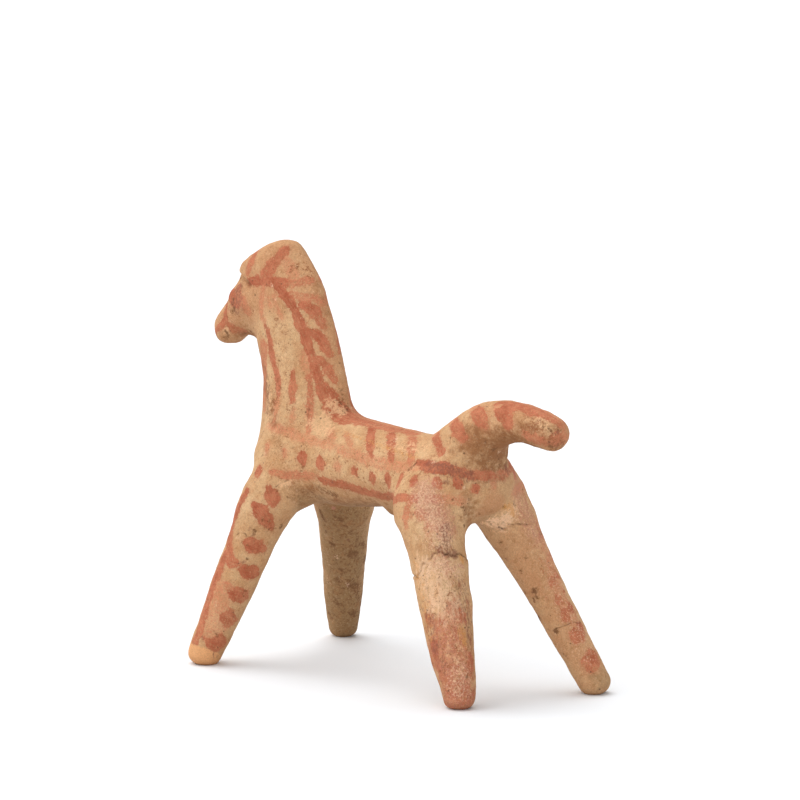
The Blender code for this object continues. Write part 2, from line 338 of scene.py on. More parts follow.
@dataclass
class Neck(Section):
    """The headstall's bands, the mane's stripe with its locks, and the lines down the throat.

    Attributes:
        lock_first: where the first wide lock leaves the stripe.
        lock_spacing: how far apart the locks are.
        lock_turn: where round the neck the first one starts, and how much further back each next one does.
        lock_fall: how a lock goes on from its start.
        lock_taper: how much narrower its ends are.
        locks: width and paint left of each wide lock.
    """

    headstall: Stroke = Stroke(Part.NECK, 0.95, 2.7, ((54, -39), (52.4, 7), (50.5, 42), (49, 60)), 0.1)
    headstall_end: Stroke = Stroke(Part.NECK, 0.68, 2.5, ((49.2, 58), (48.2, 70), (47.6, 84)))
    crown: Stroke = Stroke(Part.NECK, 0.85, 3.4, ((58, 74), (57, 66), (56, 53), (54.3, 34), (52.7, 8)))
    crown_worn: Stroke = Stroke(Part.NECK, 0.42, 3.4, ((55.5, 68), (52.5, 70), (50, 71)))
    mane: Stroke = Stroke(
        Part.NECK, 0.95, 2.8, ((49, 44), (44, 56), (38, 62), (31, 66), (23, 69), (14, 74), (9.5, 79)), 0.1,
    )
    thin_lock: Stroke = Stroke(Part.NECK, 0.62, 2.2, ((46, 62), (44, 71), (43, 80), (40.7, 88)))
    lock_first: float = 42.5
    lock_spacing: float = 7.2
    lock_turn: tuple[float, float] = (66.0, 2.0)
    lock_fall: Line = ((-2.5, 77), (-7.5, 83))
    lock_taper: float = 0.5
    locks: Rows = ((3.0, 0.86), (2.8, 0.9), (2.2, 0.82), (2.4, 0.8))
    cheek_line: Stroke = Stroke(Part.NECK, 0.55, 1.8, ((51, 14), (47.3, -9), (44, -21), (40, -17)))
    throat_line: Stroke = Stroke(
        Part.NECK, 0.9, 2.1, ((40, -17), (36.8, -12), (31, -14), (27.7, -8), (24.4, -2), (19, -4)),
    )
    throat_end: Stroke = Stroke(Part.NECK, 0.45, 1.9, ((19, -4), (15.6, -9), (12, -9)))
    ticks: Stroke = Stroke(Part.NECK, 0.5, 1.2, ((47, 29), (43.6, 31), (40, 35)))
    short_tick: Stroke = Stroke(Part.NECK, 0.5, 1.3, ((47.5, 16), (44.5, 16)))
    middle_line: Stroke = Stroke(Part.NECK, 0.82, 1.9, ((24.8, 37), (21.4, 34), (17, 30)), 0.0)
    middle_end: Stroke = Stroke(Part.NECK, 0.5, 1.6, ((15.2, 32), (11.4, 29)))
    back_line: Stroke = Stroke(Part.NECK, 0.4, 2.4, ((30, 58), (24, 60)))
    back_end: Stroke = Stroke(Part.NECK, 0.75, 2.1, ((24, 60), (19.6, 60), (14, 56), (8, 52)))
    throat_patch: Stroke = Stroke(Part.NECK, 0.66, 5.0, ((34.5, -38), (29, -54), (21.7, -60), (16, -53)))
    collar: Stroke = Stroke(Part.NECK, 0.42, 2.4, ((11, -27), (9, 19), (7, 43), (5, 59), (3.4, 68)))
    warmth: Wash = Wash(Tone.WARM, Part.NECK, 0.7, 10.0, ((58, 90), (45, 90), (30, 95), (14, 100)))
    lock_warmth: Wash = Wash(Tone.WARM, Part.NECK, 0.75, 10.0, ((61, -40), (60, 20), (58, 60)))
    throat_dirt: Wash = Wash(Tone.PLUM, Part.NECK, 0.45, 2.4, ((25, -40), (20, -42), (15, -36)))
    throat_pale: Wash = Wash(Tone.CRUST, Part.NECK, 0.5, 2.6, ((24, -34), (18, -36), (12, -30)))
    throat_specks: Wash = Wash(Tone.SPECKLE, Part.NECK, 0.7, 3.0, ((24, -2), (18, -12), (12, -8)))
    crown_specks: Wash = Wash(Tone.SPECKLE, Part.NECK, 0.7, 4.0, ((51.5, 68), (52.5, 80), (49.5, 84)))
    middle_specks: Wash = Wash(Tone.SPECKLE, Part.NECK, 0.75, 2.2, ((40, 20), (37.8, 26), (36.2, 46)))
    lower_specks: Wash = Wash(Tone.SPECKLE, Part.NECK, 0.35, 8.0, ((30, 20), (18, 30), (12, 40)))
    withers_pale: Wash = Wash(Tone.CRUST, Part.NECK, 0.8, 2.4, ((15, 76), (12.6, 82)))
    throat_lime: Wash = Wash(Tone.CRUST, Part.NECK, 0.7, 1.6, ((20, -30), (16, -34)))
    collar_lime: Wash = Wash(Tone.CRUST, Part.NECK, 0.7, 2.6, ((11, 55), (8, 66), (12, 70)))
    # Painted shade along the back edge of the neck
    crest_painted_shade: Wash = Wash(Tone.RUST_AND_SHADE, Part.NECK, 0.35, 3.6, ((56, 60), (52.5, 76), (48, 86), (36, 88)))
    base_hollow: Press = Press(Part.NECK, (11, -55), 4.0, 0.5)
    nape_dirt: Wash = Wash(Tone.GRIME_AND_SHADE, Part.NECK, 0.4, 3.0, ((16.5, 84), (13, 86)))

    def repeats(self) -> list[Stroke]:
        """Lays out the mane's locks.

        Returns:
            Their strokes.
        """
        marks = []
        start, further = self.lock_turn
        for k, (width, load) in enumerate(self.locks):
            at = self.lock_first - k * self.lock_spacing
            line = ((at, start + further * k), *shifted(self.lock_fall, at))
            marks.append(Stroke(Part.NECK, load, width, line, self.lock_taper))
        return marks


@dataclass
class Trunk(Section):
    """The back's stripe with a ladder under it, the dots along the flank and the lines round them.

    Attributes:
        rung_first: where the first long rung starts.
        rung_spacing: how far apart the rungs are.
        rung: how a rung goes from its start.
        rung_width: how wide a rung is.
        rung_taper: how much narrower its ends are.
        rung_loads: how much paint is left on each.
        dot_first: the middle of the first dot.
        dot_spacing: how far apart the dots are.
        dot_lean: how far along from its middle a dot starts and ends.
        dots: turn, length in degrees, width and paint left of each.
    """

    back: Stroke = Stroke(
        Part.TRUNK, 0.85, 4.4, ((30, 79), (37, 80), (44, 79), (51, 81), (57, 82), (63, 81)),
    )
    worn_rung: Stroke = Stroke(Part.TRUNK, 0.55, 2.4, ((35.7, 48), (39.4, 26)))
    worn_rung_2: Stroke = Stroke(Part.TRUNK, 0.55, 1.8, ((42.2, 48), (46.5, 30)))
    rung_first: float = 48.2
    rung_spacing: float = 8.3
    rung: Line = ((0, 68), (4.8, 41), (8.2, 18))
    rung_width: float = 2.5
    rung_taper: float = 0.2
    rung_loads: tuple[float, ...] = (0.9, 0.9, 0.75)
    ladder_foot: Stroke = Stroke(Part.TRUNK, 0.48, 3.0, ((43, 23), (51, 19), (59, 15), (69, 15), (77, 17)))
    haunch: Stroke = Stroke(Part.TRUNK, 1.0, 3.5, ((75, 24), (81, 21), (85, 22), (91, 23)), 0.5)
    rump_line: Stroke = Stroke(Part.RUMP, 0.8, 2.3, ((18, 43), (18.8, 58), (19.2, 72), (19.6, 95)))
    dot_first: float = 15.0
    dot_spacing: float = 7.05
    dot_lean: tuple[float, float] = (-0.3, 0.4)
    dots: Rows = (
        (8, 8, 1.9, 0.6), (8, 6, 1.8, 0.6), (5, 9, 3.6, 0.95), (2, 10, 3.0, 0.9), (1, 8, 2.6, 0.5),
        (-1, 4, 2.8, 0.9), (-5, 9, 3.6, 0.85), (-4, 12, 2.8, 0.9), (0, 12, 2.3, 0.85), (4, 5, 2.5, 0.9),
        (4, 6, 3.0, 0.9),
    )
    rump_dot: Stroke = Stroke(Part.RUMP, 0.95, 2.8, ((20.4, 41), (21.6, 43)))
    rump_dot_2: Stroke = Stroke(Part.RUMP, 0.85, 2.4, ((22, 62), (23.4, 65)))
    rump_dot_3: Stroke = Stroke(Part.RUMP, 0.6, 2.4, ((21.2, 88), (22.6, 90)))
    chest_dot: Stroke = Stroke(Part.TRUNK, 0.9, 3.2, ((15, -10), (16, -15)))
    girth_start: Stroke = Stroke(Part.TRUNK, 0.65, 2.1, ((20, -11), (26, -16), (35, -16)))
    girth: Stroke = Stroke(
        Part.TRUNK, 0.9, 2.6,
        ((35, -19), (46, -24), (51, -28), (57.5, -30), (63, -28), (70, -18), (76, -10), (82, -9)),
    )
    girth_end: Stroke = Stroke(Part.RUMP, 0.5, 2.6, ((25, 16), (25.3, 34), (26, 50)))
    belly_dirt: Wash = Wash(Tone.GRIME_AND_SHADE, Part.TRUNK, 0.6, 2.2, ((34.5, -34), (39, -40)))
    # Painted shade under the belly, dark and brown
    belly_painted_shade_dark: Wash = Wash(Tone.GRIME_AND_SHADE, Part.TRUNK, 0.32, 5.0, ((27, -42), (40, -68), (54, -76)))
    belly_painted_shade_brown: Wash = Wash(Tone.UMBER_AND_SHADE, Part.TRUNK, 0.7, 8.0, ((26, -55), (40, -78), (56, -80)))
    flank_lime: Wash = Wash(Tone.CRUST, Part.TRUNK, 0.4, 4.0, ((62, 42), (74, 50)))
    flank_ochre: Wash = Wash(Tone.OCHRE, Part.TRUNK, 0.45, 1.2, ((41, 49), (75, 29)))
    scrape: Wash = Wash(Tone.CRUST, Part.TRUNK, 0.8, 1.3, ((23.6, -22), (25.4, -22)))
    # Painted shade on the rump under the tail
    rump_painted_shade: Wash = Wash(Tone.RUST_AND_SHADE, Part.RUMP, 0.72, 11.0, ((10, 66), (15, 90), (12, 115)))
    haunch_stain: Wash = Wash(Tone.PLUM, Part.TRUNK, 0.62, 2.8, ((80, 22), (85, 22), (91, 23)))
    # Painted shade in the crotch between the hind legs
    between_hind_legs_painted_shade: Wash = Wash(Tone.RUST_AND_SHADE, Part.RUMP, 0.55, 3.6, ((28, 56), (31, 60), (34, 60)))
    # Dirt streaks and painted shade under the tail
    rump_dirt_and_shade: Wash = Wash(Tone.GRIME_AND_SHADE, Part.RUMP, 0.2, 4.5, ((11, 70), (16, 86), (17, 112)))
    # Painted shade under the belly, red-brown
    belly_painted_shade_red: Wash = Wash(Tone.RUST_AND_SHADE, Part.TRUNK, 0.6, 9.0, ((40, -60), (60, -70), (78, -60)))
    rump_plum: Wash = Wash(Tone.PLUM, Part.RUMP, 0.7, 1.8, ((18, 116), (19, 120)))
    # The fold is cut and darkened: painted shade in the crotch
    fold: Groove = Groove(Part.RUMP, 0.3, 1.6, 0.0, 0.0, ((25, 56), (28, 55), (32, 55)))
    stifle: Press = Press(Part.TRUNK, (59.3, -62), 5.2, -2.4)
    flank_specks: Wash = Wash(Tone.SPECKLE, Part.TRUNK, 0.35, 12.0, ((22, 10), (50, 0), (80, 10)))
    armpit: Press = Press(Part.TRUNK, (23, -66), 4.5, -0.6)
    buttock: Press = Press(Part.RUMP, (22, 152), 3.8, -0.55)
    nick: Groove = Groove(Part.TRUNK, 0.12, 0.22, 0.2, 0.0, ((22.4, -23), (24, -21), (25, -20)))

    def far_strokes(self, draw: random.Random) -> list[Stroke]:
        """The near side's strokes again, but not the dots that meet under the tail."""
        shared = (self.rump_dot_2, self.rump_dot_3)
        return [stroke.opposite(draw) for stroke in self.near_strokes() if stroke not in shared]

    def repeats(self) -> list[Stroke]:
        """Lays out the ladder's rungs and the flank's dots.

        Returns:
            Their strokes.
        """
        marks = []
        for k, load in enumerate(self.rung_loads):
            line = shifted(self.rung, self.rung_first + k * self.rung_spacing)
            marks.append(Stroke(Part.TRUNK, load, self.rung_width, line, self.rung_taper))
        start, end = self.dot_lean
        for k, (turn, long, width, load) in enumerate(self.dots):
            at = self.dot_first + k * self.dot_spacing
            line = ((at + start, turn + long / 2), (at + end, turn - long / 2))
            marks.append(Stroke(Part.TRUNK, load, width, line))
        return marks


@dataclass
class Tail(Section):
    """The raised tail, ringed on its sides and striped along its top.

    Attributes:
        ring_first: the middle of the first ring.
        ring_spacing: how far apart the rings are.
        ring: how a ring goes round from its middle.
        ring_taper: how much narrower its ends are.
        ring_top: how its worn upper end goes, from the same middle.
        top_share: how wide that end is, as a share of the ring.
        top_load: how much paint is left on that end.
        rings: width and paint left of each.
    """

    ring_first: float = 11.7
    ring_spacing: float = 8.4
    ring: Line = ((-2.4, 44), (0, 14), (1.6, -9))
    ring_taper: float = 0.15
    ring_top: Line = ((-4.0, 64), (-2.2, 42))
    top_share: float = 0.8
    top_load: float = 0.5
    rings: Rows = ((2.8, 0.9), (3.6, 0.85), (4.0, 0.8), (4.4, 0.9))
    top: Stroke = Stroke(Part.TAIL, 0.85, 4.4, ((33, 62), (39, 66), (46, 74), (53, 82)))
    low: Stroke = Stroke(Part.TAIL, 0.68, 2.8, ((45, -20), (49, -24), (53, -20), (54.6, 2)))
    tip: Stroke = Stroke(Part.TAIL, 0.66, 5.0, ((54.5, 20), (55.5, -40), (56, -90)))
    warmth: Wash = Wash(Tone.WARM, Part.TAIL, 0.65, 12.0, ((24, 0), (40, 0), (54, 0)))
    tip_lime: Wash = Wash(Tone.CRUST, Part.TAIL, 0.5, 2.4, ((49, 40), (53, 34)))
    tip_rust: Wash = Wash(Tone.RUST_AND_SHADE, Part.TAIL, 0.55, 6.0, ((44, 0), (54, 0)))
    tip_specks: Wash = Wash(Tone.SPECKLE, Part.TAIL, 0.75, 4.0, ((46, 10), (50, 20), (54, 10)))
    tip_spot: Wash = Wash(Tone.GRIME_AND_SHADE, Part.TAIL, 0.9, 0.7, ((52.4, 34), (53.2, 30)))
    tip_dirt: Wash = Wash(Tone.GRIME_AND_SHADE, Part.TAIL, 0.5, 3.0, ((54, -40), (55, -90)))
    tip_crack: Groove = Groove(
        Part.TAIL, 0.25, 0.24, 0.35, 0.0, ((49.5, 44), (51, 35), (53, 31), (54.2, 21)),
    )
    tip_flaw: Groove = Groove(Part.TAIL, 0.3, 0.4, 0.2, 0.0, ((52.6, 26), (53.2, 23)))
    root: Press = Press(Part.TAIL, (22, -125), 4.0, -0.9)
    # Painted shade under the tail
    under_tail_painted_shade: Wash = Wash(Tone.RUST_AND_SHADE, Part.TAIL, 0.85, 7.0, ((24, -90), (36, -60), (46, -80)))
    # Dirt and painted shade under the tail
    under_tail_dirt_and_shade: Wash = Wash(Tone.GRIME_AND_SHADE, Part.TAIL, 0.2, 4.5, ((27, -56), (24, -92)))

    def repeats(self) -> list[Stroke]:
        """Lays out the rings.

        Returns:
            Their strokes.
        """
        marks = []
        for k, (width, load) in enumerate(self.rings):
            at = self.ring_first + k * self.ring_spacing
            top, ring = shifted(self.ring_top, at), shifted(self.ring, at)
            marks.append(Stroke(Part.TAIL, self.top_load, width * self.top_share, top))
            marks.append(Stroke(Part.TAIL, load, width, ring, self.ring_taper))
        return marks


@dataclass
class Forelegs(Section):
    """The forelegs: a wavy line with leaf-shaped bars behind it, worn feet and a cracked knee.

    Attributes:
        bar_first: the middle of the first even bar.
        bar_spacing: how far apart the bars are.
        bar_bend: how far along from its middle a bar starts.
        bar_taper: how much narrower its ends are.
        bars: turn where each starts and ends, width and paint left.
        far_load: how much of the left leg's paint is left on the right one.
        far_turn: how much further forward the marks are there, past its worn inner side.
        stains: place and reach of each dark spot on the right leg's inner side.
        stain_strength: how strong they are.
        stain_half: half the length of each, along the leg and round it.
    """

    wave: Stroke = Stroke(
        Part.FORE_LEFT, 0.92, 3.2,
        ((5, 18), (10, 25), (14, 36), (18, 35), (21, 22), (24, 2), (25.4, -12), (24.8, -26)), 0.3,
    )
    low_wave: Stroke = Stroke(
        Part.FORE_LEFT, 0.88, 3.4,
        ((24.5, 20), (28, 18), (33, 18), (38, 18), (43, 12), (47, 6), (51, 10)), 0.2,
    )
    haze: Stroke = Stroke(Part.FORE_LEFT, 0.42, 6.0, ((33, -10), (38, -24), (43, -36), (48, -40)))
    small_bar: Stroke = Stroke(Part.FORE_LEFT, 0.66, 2.4, ((32.2, -10), (31.8, -40)))
    shoulder_bar: Stroke = Stroke(Part.FORE_LEFT, 0.95, 3.8, ((1, -33), (2.8, -45), (4.4, -52)))
    elbow_bar: Stroke = Stroke(Part.FORE_LEFT, 0.95, 4.6, ((7, -16), (8.5, -40), (11, -70)), 0.6)
    bar_first: float = 18.1
    bar_spacing: float = 7.5
    bar_bend: float = 0.3
    bar_taper: float = 0.7
    bars: Rows = (
        (-24, -84, 4.3, 0.95), (-42, -100, 4.4, 0.95), (-38, -98, 4.6, 0.9), (-18, -94, 5.8, 0.84),
        (-26, -98, 5.6, 0.88),
    )
    far_load: float = 0.85
    far_turn: float = 56.0
    bare_foot: Wash = Wash(
        Tone.BARE, Part.FORE_LEFT, 1.0, 4.4,
        ((55.2, 20), (54.6, -60), (55.5, -120), (54, -200), (55.2, -340)),
    )
    knee_chip: Wash = Wash(Tone.GRIME_AND_SHADE, Part.FORE_LEFT, 0.7, 0.9, ((14, -38), (14.8, -41)))
    elbow_dirt: Wash = Wash(Tone.GRIME_AND_SHADE, Part.FORE_LEFT, 0.4, 2.5, ((10, -48), (11.6, -72)))
    crack: Groove = Groove(
        Part.FORE_LEFT, 0.28, 0.2, 0.4, 0.0, ((17.5, 5), (16.4, -13), (16.2, -32), (15, -42)),
    )
    # Painted shade on the right foreleg's inner side, under the body
    far_inner_painted_shade: Wash = Wash(Tone.UMBER_AND_SHADE, Part.FORE_RIGHT, 0.9, 13.0, ((9, -134), (25, -136), (51, -131)))
    far_mottle: Wash = Wash(Tone.GRIME_AND_SHADE, Part.FORE_RIGHT, 0.36, 12.0, ((10, -120), (26, -110), (46, -110)))
    far_chip: Wash = Wash(Tone.BLOOM, Part.FORE_RIGHT, 1.0, 0.8, ((5.6, -150), (6.2, -152)))
    far_streak: Wash = Wash(Tone.GRIME_AND_SHADE, Part.FORE_RIGHT, 0.8, 1.0, ((8.8, 176), (12, 190)))
    far_band: Wash = Wash(Tone.GRIME_AND_SHADE, Part.FORE_RIGHT, 0.6, 2.0, ((36, -110), (40, -80), (45, -60)))
    stain_strength: float = 0.72
    stain_half: Place = (0.4, 5.0)
    stains: Rows = (
        (9.5, -140, 1.3), (12, -129, 0.8), (14.8, -116, 1.0), (20, -160, 1.2), (23.5, -107, 2.6),
        (21, -84, 2.2), (28.3, -60, 2.0), (33.5, -146, 1.3), (35.5, -108, 2.8), (37, -86, 2.6),
        (29.8, -133, 1.0), (42.5, -148, 1.6), (46.8, -95, 2.2), (48.5, -178, 1.4),
    )

    def repeats(self) -> list[Stroke]:
        """Lays out the even bars.

        Returns:
            Their strokes.
        """
        marks = []
        for k, (start, end, width, load) in enumerate(self.bars):
            at = self.bar_first + k * self.bar_spacing
            line = ((at + self.bar_bend, start), (at, (start + end) / 2), (at, end))
            marks.append(Stroke(Part.FORE_LEFT, load, width, line, self.bar_taper))
        return marks

    def far_strokes(self, draw: random.Random) -> list[Stroke]:
        """The same marks on the right leg, further forward, where its worn inner side ends."""
        strokes = self.near_strokes()
        return [stroke.carried(Part.FORE_RIGHT, self.far_load, self.far_turn) for stroke in strokes]

    def washes(self) -> list[Wash]:
        """Gathers the soft patches and the right leg's dark spots.

        Returns:
            All of them.
        """
        spots = []
        long, wide = self.stain_half
        for at, turn, reach in self.stains:
            line = ((at - long, turn - wide), (at + long, turn + wide))
            spots.append(Wash(Tone.GRIME_AND_SHADE, Part.FORE_RIGHT, self.stain_strength, reach, line))
        return self.marks(Wash) + spots


@dataclass
class Hindlegs(Section):
    """The hind legs: a repaired break under lime and purple stains on the left, worn dabs on the right.

    Attributes:
        patches: line, width and paint left of each worn patch on the left shank.
        patch_taper: how much narrower their ends are.
        dabs: place, width and paint left of each dab on the right leg.
        dab_half: half the length of each dab, along the leg and round it.
        dab_taper: how much narrower their ends are.
        thigh_load: how much of the left thigh's paint is left on the right one.
        wave_load: the same for the forelegs' wave on the right leg's outer side.
        wave_turn: how far round the leg that wave is moved.
        stains: place and reach of each dark spot on the right leg.
        stain_strength: how strong they are.
    """

    thigh_line: Stroke = Stroke(Part.HIND_LEFT, 0.7, 2.1, ((1, -18), (3, -6), (7, 3)))
    thigh_dab: Stroke = Stroke(Part.HIND_LEFT, 0.6, 3.0, ((4.4, -30), (5.8, -44)))
    knee_dab: Stroke = Stroke(Part.HIND_LEFT, 0.42, 2.2, ((8.3, -50), (11, -44)))
    far_smear: Stroke = Stroke(Part.HIND_RIGHT, 0.3, 3.4, ((14, -64), (24, -78), (36, -99), (47, -103)))
    patches: tuple[tuple[Line, float, float], ...] = (
        (((35, -40), (54, -45)), 10.0, 0.46),
        (((28, -26), (30, -24)), 2.2, 0.7),
        (((30.5, -64), (33, -68), (35.5, -94)), 3.6, 0.78),
        (((32, -8), (35, -8)), 3.0, 0.8),
        (((39, -27), (41, -10), (44.5, -4)), 4.6, 0.9),
        (((47, -14), (50, -29), (52, -30)), 4.0, 0.85),
        (((40, -62), (43.5, -70), (46, -74)), 3.6, 0.8),
        (((45, -98), (50, -94)), 3.2, 0.8),
        (((54, -10), (55, -44), (53.5, -80)), 3.4, 0.85),
        (((56, 20), (58, -44), (56.5, -110)), 5.6, 0.64),
    )
    patch_taper: float = 0.5
    dabs: Rows = (
        (18.1, -66, 3.6, 0.56), (24.4, -76, 3.6, 0.6), (30.3, -94, 3.8, 0.74), (35.2, -100, 3.8, 0.76),
        (39.8, -104, 4.2, 0.86), (46.2, -103, 4.2, 0.82), (55.2, -110, 4.6, 0.8),
    )
    dab_half: Place = (0.9, 8.0)
    dab_taper: float = 0.1
    thigh_load: float = 0.9
    wave_load: float = 0.7
    wave_turn: float = -14.0

    # The left thigh
    haze: Wash = Wash(Tone.BLOOM, Part.HIND_LEFT, 0.75, 6.0, ((-2, -52), (1, -50), (5, -62), (9.5, -72)))
    haze_lime: Wash = Wash(Tone.LIME, Part.HIND_LEFT, 0.6, 6.0, ((0, -50), (6, -56), (12, -60)))
    thigh_streaks: Wash = Wash(Tone.STREAK, Part.HIND_LEFT, 0.45, 7.0, ((2, -50), (8, -60), (13, -60)))
    # Painted shade in the crotch, on the left thigh
    near_crotch_painted_shade: Wash = Wash(Tone.RUST_AND_SHADE, Part.HIND_LEFT, 0.62, 2.8, ((1.5, -106), (4, -112), (6.5, -114)))

    # The break and the clay round it
    stain: Wash = Wash(Tone.PLUM, Part.HIND_LEFT, 0.7, 2.8, ((10, -76), (13, -73), (16.5, -71)))
    break_stain: Wash = Wash(Tone.PLUM, Part.HIND_LEFT, 0.9, 1.6, ((15.2, -58), (16.4, -72), (17.3, -88)))
    break_lime: Wash = Wash(Tone.CRUST, Part.HIND_LEFT, 0.8, 2.0, ((19.3, -14), (20, -8)))
    break_ochre: Wash = Wash(Tone.OCHRE, Part.HIND_LEFT, 1.0, 1.3, ((18.2, -102), (19.2, -105)))
    break_fleck: Wash = Wash(Tone.BLOOM, Part.HIND_LEFT, 1.0, 0.8, ((20.4, -95), (20.6, -104)))
    knee_specks: Wash = Wash(Tone.LIME, Part.HIND_LEFT, 0.5, 4.0, ((19, -30), (20.5, -60), (21.5, -86)))
    knee_haze: Wash = Wash(Tone.BLOOM, Part.HIND_LEFT, 0.55, 4.0, ((18.5, -50), (20, -62), (21, -76)))
    knee_streaks: Wash = Wash(Tone.STREAK, Part.HIND_LEFT, 0.38, 6.0, ((21, -66), (26, -70), (30, -80)))

    # The left shank
    shank_cream: Wash = Wash(Tone.CREAM, Part.HIND_LEFT, 0.7, 7.0, ((20, -28), (25, -44), (31, -54)))
    shank_lime: Wash = Wash(Tone.CRUST, Part.HIND_LEFT, 0.7, 5.0, ((21, -36), (25, -26), (30, -25)))
    shank_dirt: Wash = Wash(Tone.GRIME_AND_SHADE, Part.HIND_LEFT, 0.3, 2.0, ((24, -78), (29, -82), (34, -88)))
    shank_plum: Wash = Wash(
        Tone.PLUM, Part.HIND_LEFT, 0.48, 2.6, ((25, -95), (29, -98), (36, -103), (42, -101)),
    )
    shank_speckle: Wash = Wash(Tone.SPECKLE, Part.HIND_LEFT, 0.4, 12.0, ((28, -50), (40, -50), (56, -45)))
    shank_streaks: Wash = Wash(Tone.STREAK, Part.HIND_LEFT, 0.5, 12.0, ((34, -60), (46, -50), (57, -45)))
    shank_bloom: Wash = Wash(Tone.BLOOM, Part.HIND_LEFT, 0.5, 10.0, ((38, -50), (48, -45), (58, -45)))
    shank_rust: Wash = Wash(Tone.RUST_AND_SHADE, Part.HIND_LEFT, 0.4, 9.0, ((38, -60), (46, -50), (56, -45)))
    shank_ochre: Wash = Wash(Tone.OCHRE, Part.HIND_LEFT, 0.7, 1.8, ((38, -80), (42, -84)))
    shank_pale: Wash = Wash(Tone.BLOOM, Part.HIND_LEFT, 0.6, 2.6, ((48, -68), (53, -71)))
    shank_specks: Wash = Wash(Tone.LIME, Part.HIND_LEFT, 0.5, 4.6, ((50, -60), (54.5, -50)))
    low_lime: Wash = Wash(Tone.CRUST, Part.HIND_LEFT, 0.42, 4.0, ((35, -56), (42, -60), (50, -50)))
    low_streaks: Wash = Wash(Tone.STREAK, Part.HIND_LEFT, 0.9, 5.0, ((42, 20), (47, -6), (52, -36)))
    front_ochre: Wash = Wash(Tone.OCHRE, Part.HIND_LEFT, 0.45, 2.6, ((18, 0), (28, 0), (38, 4)))
    front_plum: Wash = Wash(Tone.PLUM, Part.HIND_LEFT, 0.5, 3.0, ((33, -6), (40, -6), (47, -16)))
    tip_plum: Wash = Wash(Tone.PLUM, Part.HIND_LEFT, 0.25, 4.0, ((56.5, -5), (57.8, -40), (57.4, -80)))

    # The right leg, with its crust
    # Painted shade in the crotch, on the right leg
    far_crotch_painted_shade: Wash = Wash(Tone.RUST_AND_SHADE, Part.HIND_RIGHT, 0.6, 2.6, ((2.0, -152), (3.4, -162)))
    smooth: Wash = Wash(Tone.WARM, Part.HIND_RIGHT, 0.9, 4.0, ((2.9, -141), (4.9, -137), (4.6, -152)))
    far_crust: Wash = Wash(
        Tone.CRUST, Part.HIND_RIGHT, 0.75, 4.0,
        ((7.4, -112), (8.8, -126), (9.4, -140), (9.6, -150), (8.2, -160)),
    )
    crust_lime: Wash = Wash(
        Tone.LIME, Part.HIND_RIGHT, 0.85, 3.0, ((8.2, -158), (9.8, -150), (9.5, -140), (8.6, -122)),
    )
    far_ochre: Wash = Wash(Tone.OCHRE, Part.HIND_RIGHT, 0.7, 1.8, ((6, -130), (7, -122), (9, -118)))
    far_haze: Wash = Wash(Tone.BLOOM, Part.HIND_RIGHT, 0.6, 5.5, ((1, -90), (9.6, -92), (16, -84)))
    outer_lime: Wash = Wash(
        Tone.LIME, Part.HIND_RIGHT, 0.26, 6.0, ((8, -90), (20, -80), (36, -90), (52, -100)),
    )
    far_streaks: Wash = Wash(Tone.STREAK, Part.HIND_RIGHT, 0.3, 6.0, ((8, -84), (24, -84), (40, -104)))
    far_warmth: Wash = Wash(
        Tone.WARM, Part.HIND_RIGHT, 0.7, 11.0, ((16, -135), (36, -135), (58, -120)),
    )
    far_foot: Wash = Wash(Tone.UMBER_AND_SHADE, Part.HIND_RIGHT, 0.6, 5.0, ((61, -60), (61, -120)))
    stain_strength: float = 0.85
    stains: Rows = (
        (30.3, -165, 1.6), (32.5, -168, 1.2), (37.5, 146, 1.8), (43, -168, 1.2), (24, -170, 0.9),
        (14, -175, 1.0),
    )

    break_edge: Groove = Groove(Part.HIND_LEFT, 0.45, 0.38, 0.5, 0.14, (
        (21.5, 1), (19.7, -11), (18.4, -25), (16.9, -37), (16.3, -55), (17.2, -81), (17.3, -100),
        (18.7, -140), (18.5, -200), (18.6, -260), (21.5, -359),
    ))
    far_crack: Groove = Groove(
        Part.HIND_RIGHT, 0.22, 0.22, 0.35, 0.0, ((42.6, -172), (42.8, -139), (44, -77)),
    )
    crust_edge: Groove = Groove(
        Part.HIND_RIGHT, 0.14, 0.3, 0.5, 0.4, ((7, -168), (10.5, -158), (11.5, -130), (12.7, -104)),
    )
    stifle: Press = Press(Part.HIND_LEFT, (4, 74), 4.0, -0.9)
    back_full: Press = Press(Part.HIND_LEFT, (20, -128), 5.0, -0.5)
    calf_full: Press = Press(Part.HIND_LEFT, (30, -132), 5.0, -0.5)
    flank: Press = Press(Part.HIND_RIGHT, (7, -80), 5.0, 0.4)
    haunch: Press = Press(Part.HIND_RIGHT, (2.4, -66), 4.6, -0.7)

    def repeats(self) -> list[Stroke]:
        """Lays out the worn patches and the dabs.

        Returns:
            Their strokes.
        """
        marks = []
        for line, width, load in self.patches:
            marks.append(Stroke(Part.HIND_LEFT, load, width, line, self.patch_taper))
        long, wide = self.dab_half
        for at, turn, width, load in self.dabs:
            line = ((at - long, turn + wide), (at + long, turn - wide))
            marks.append(Stroke(Part.HIND_RIGHT, load, width, line, self.dab_taper))
        return marks

    def far_strokes(self, draw: random.Random) -> list[Stroke]:
        """Repeats the thigh's marks on the right thigh, and the forelegs' wave down its outer side.

        Args:
            draw: not used, because these marks are only carried over.

        Returns:
            The strokes.
        """
        fore = Forelegs()
        thigh = (self.thigh_line, self.thigh_dab, self.knee_dab)
        marks = [stroke.carried(Part.HIND_RIGHT, self.thigh_load) for stroke in thigh]
        for wave in (fore.wave, fore.low_wave):
            marks.append(wave.carried(Part.HIND_RIGHT, self.wave_load, self.wave_turn))
        return marks

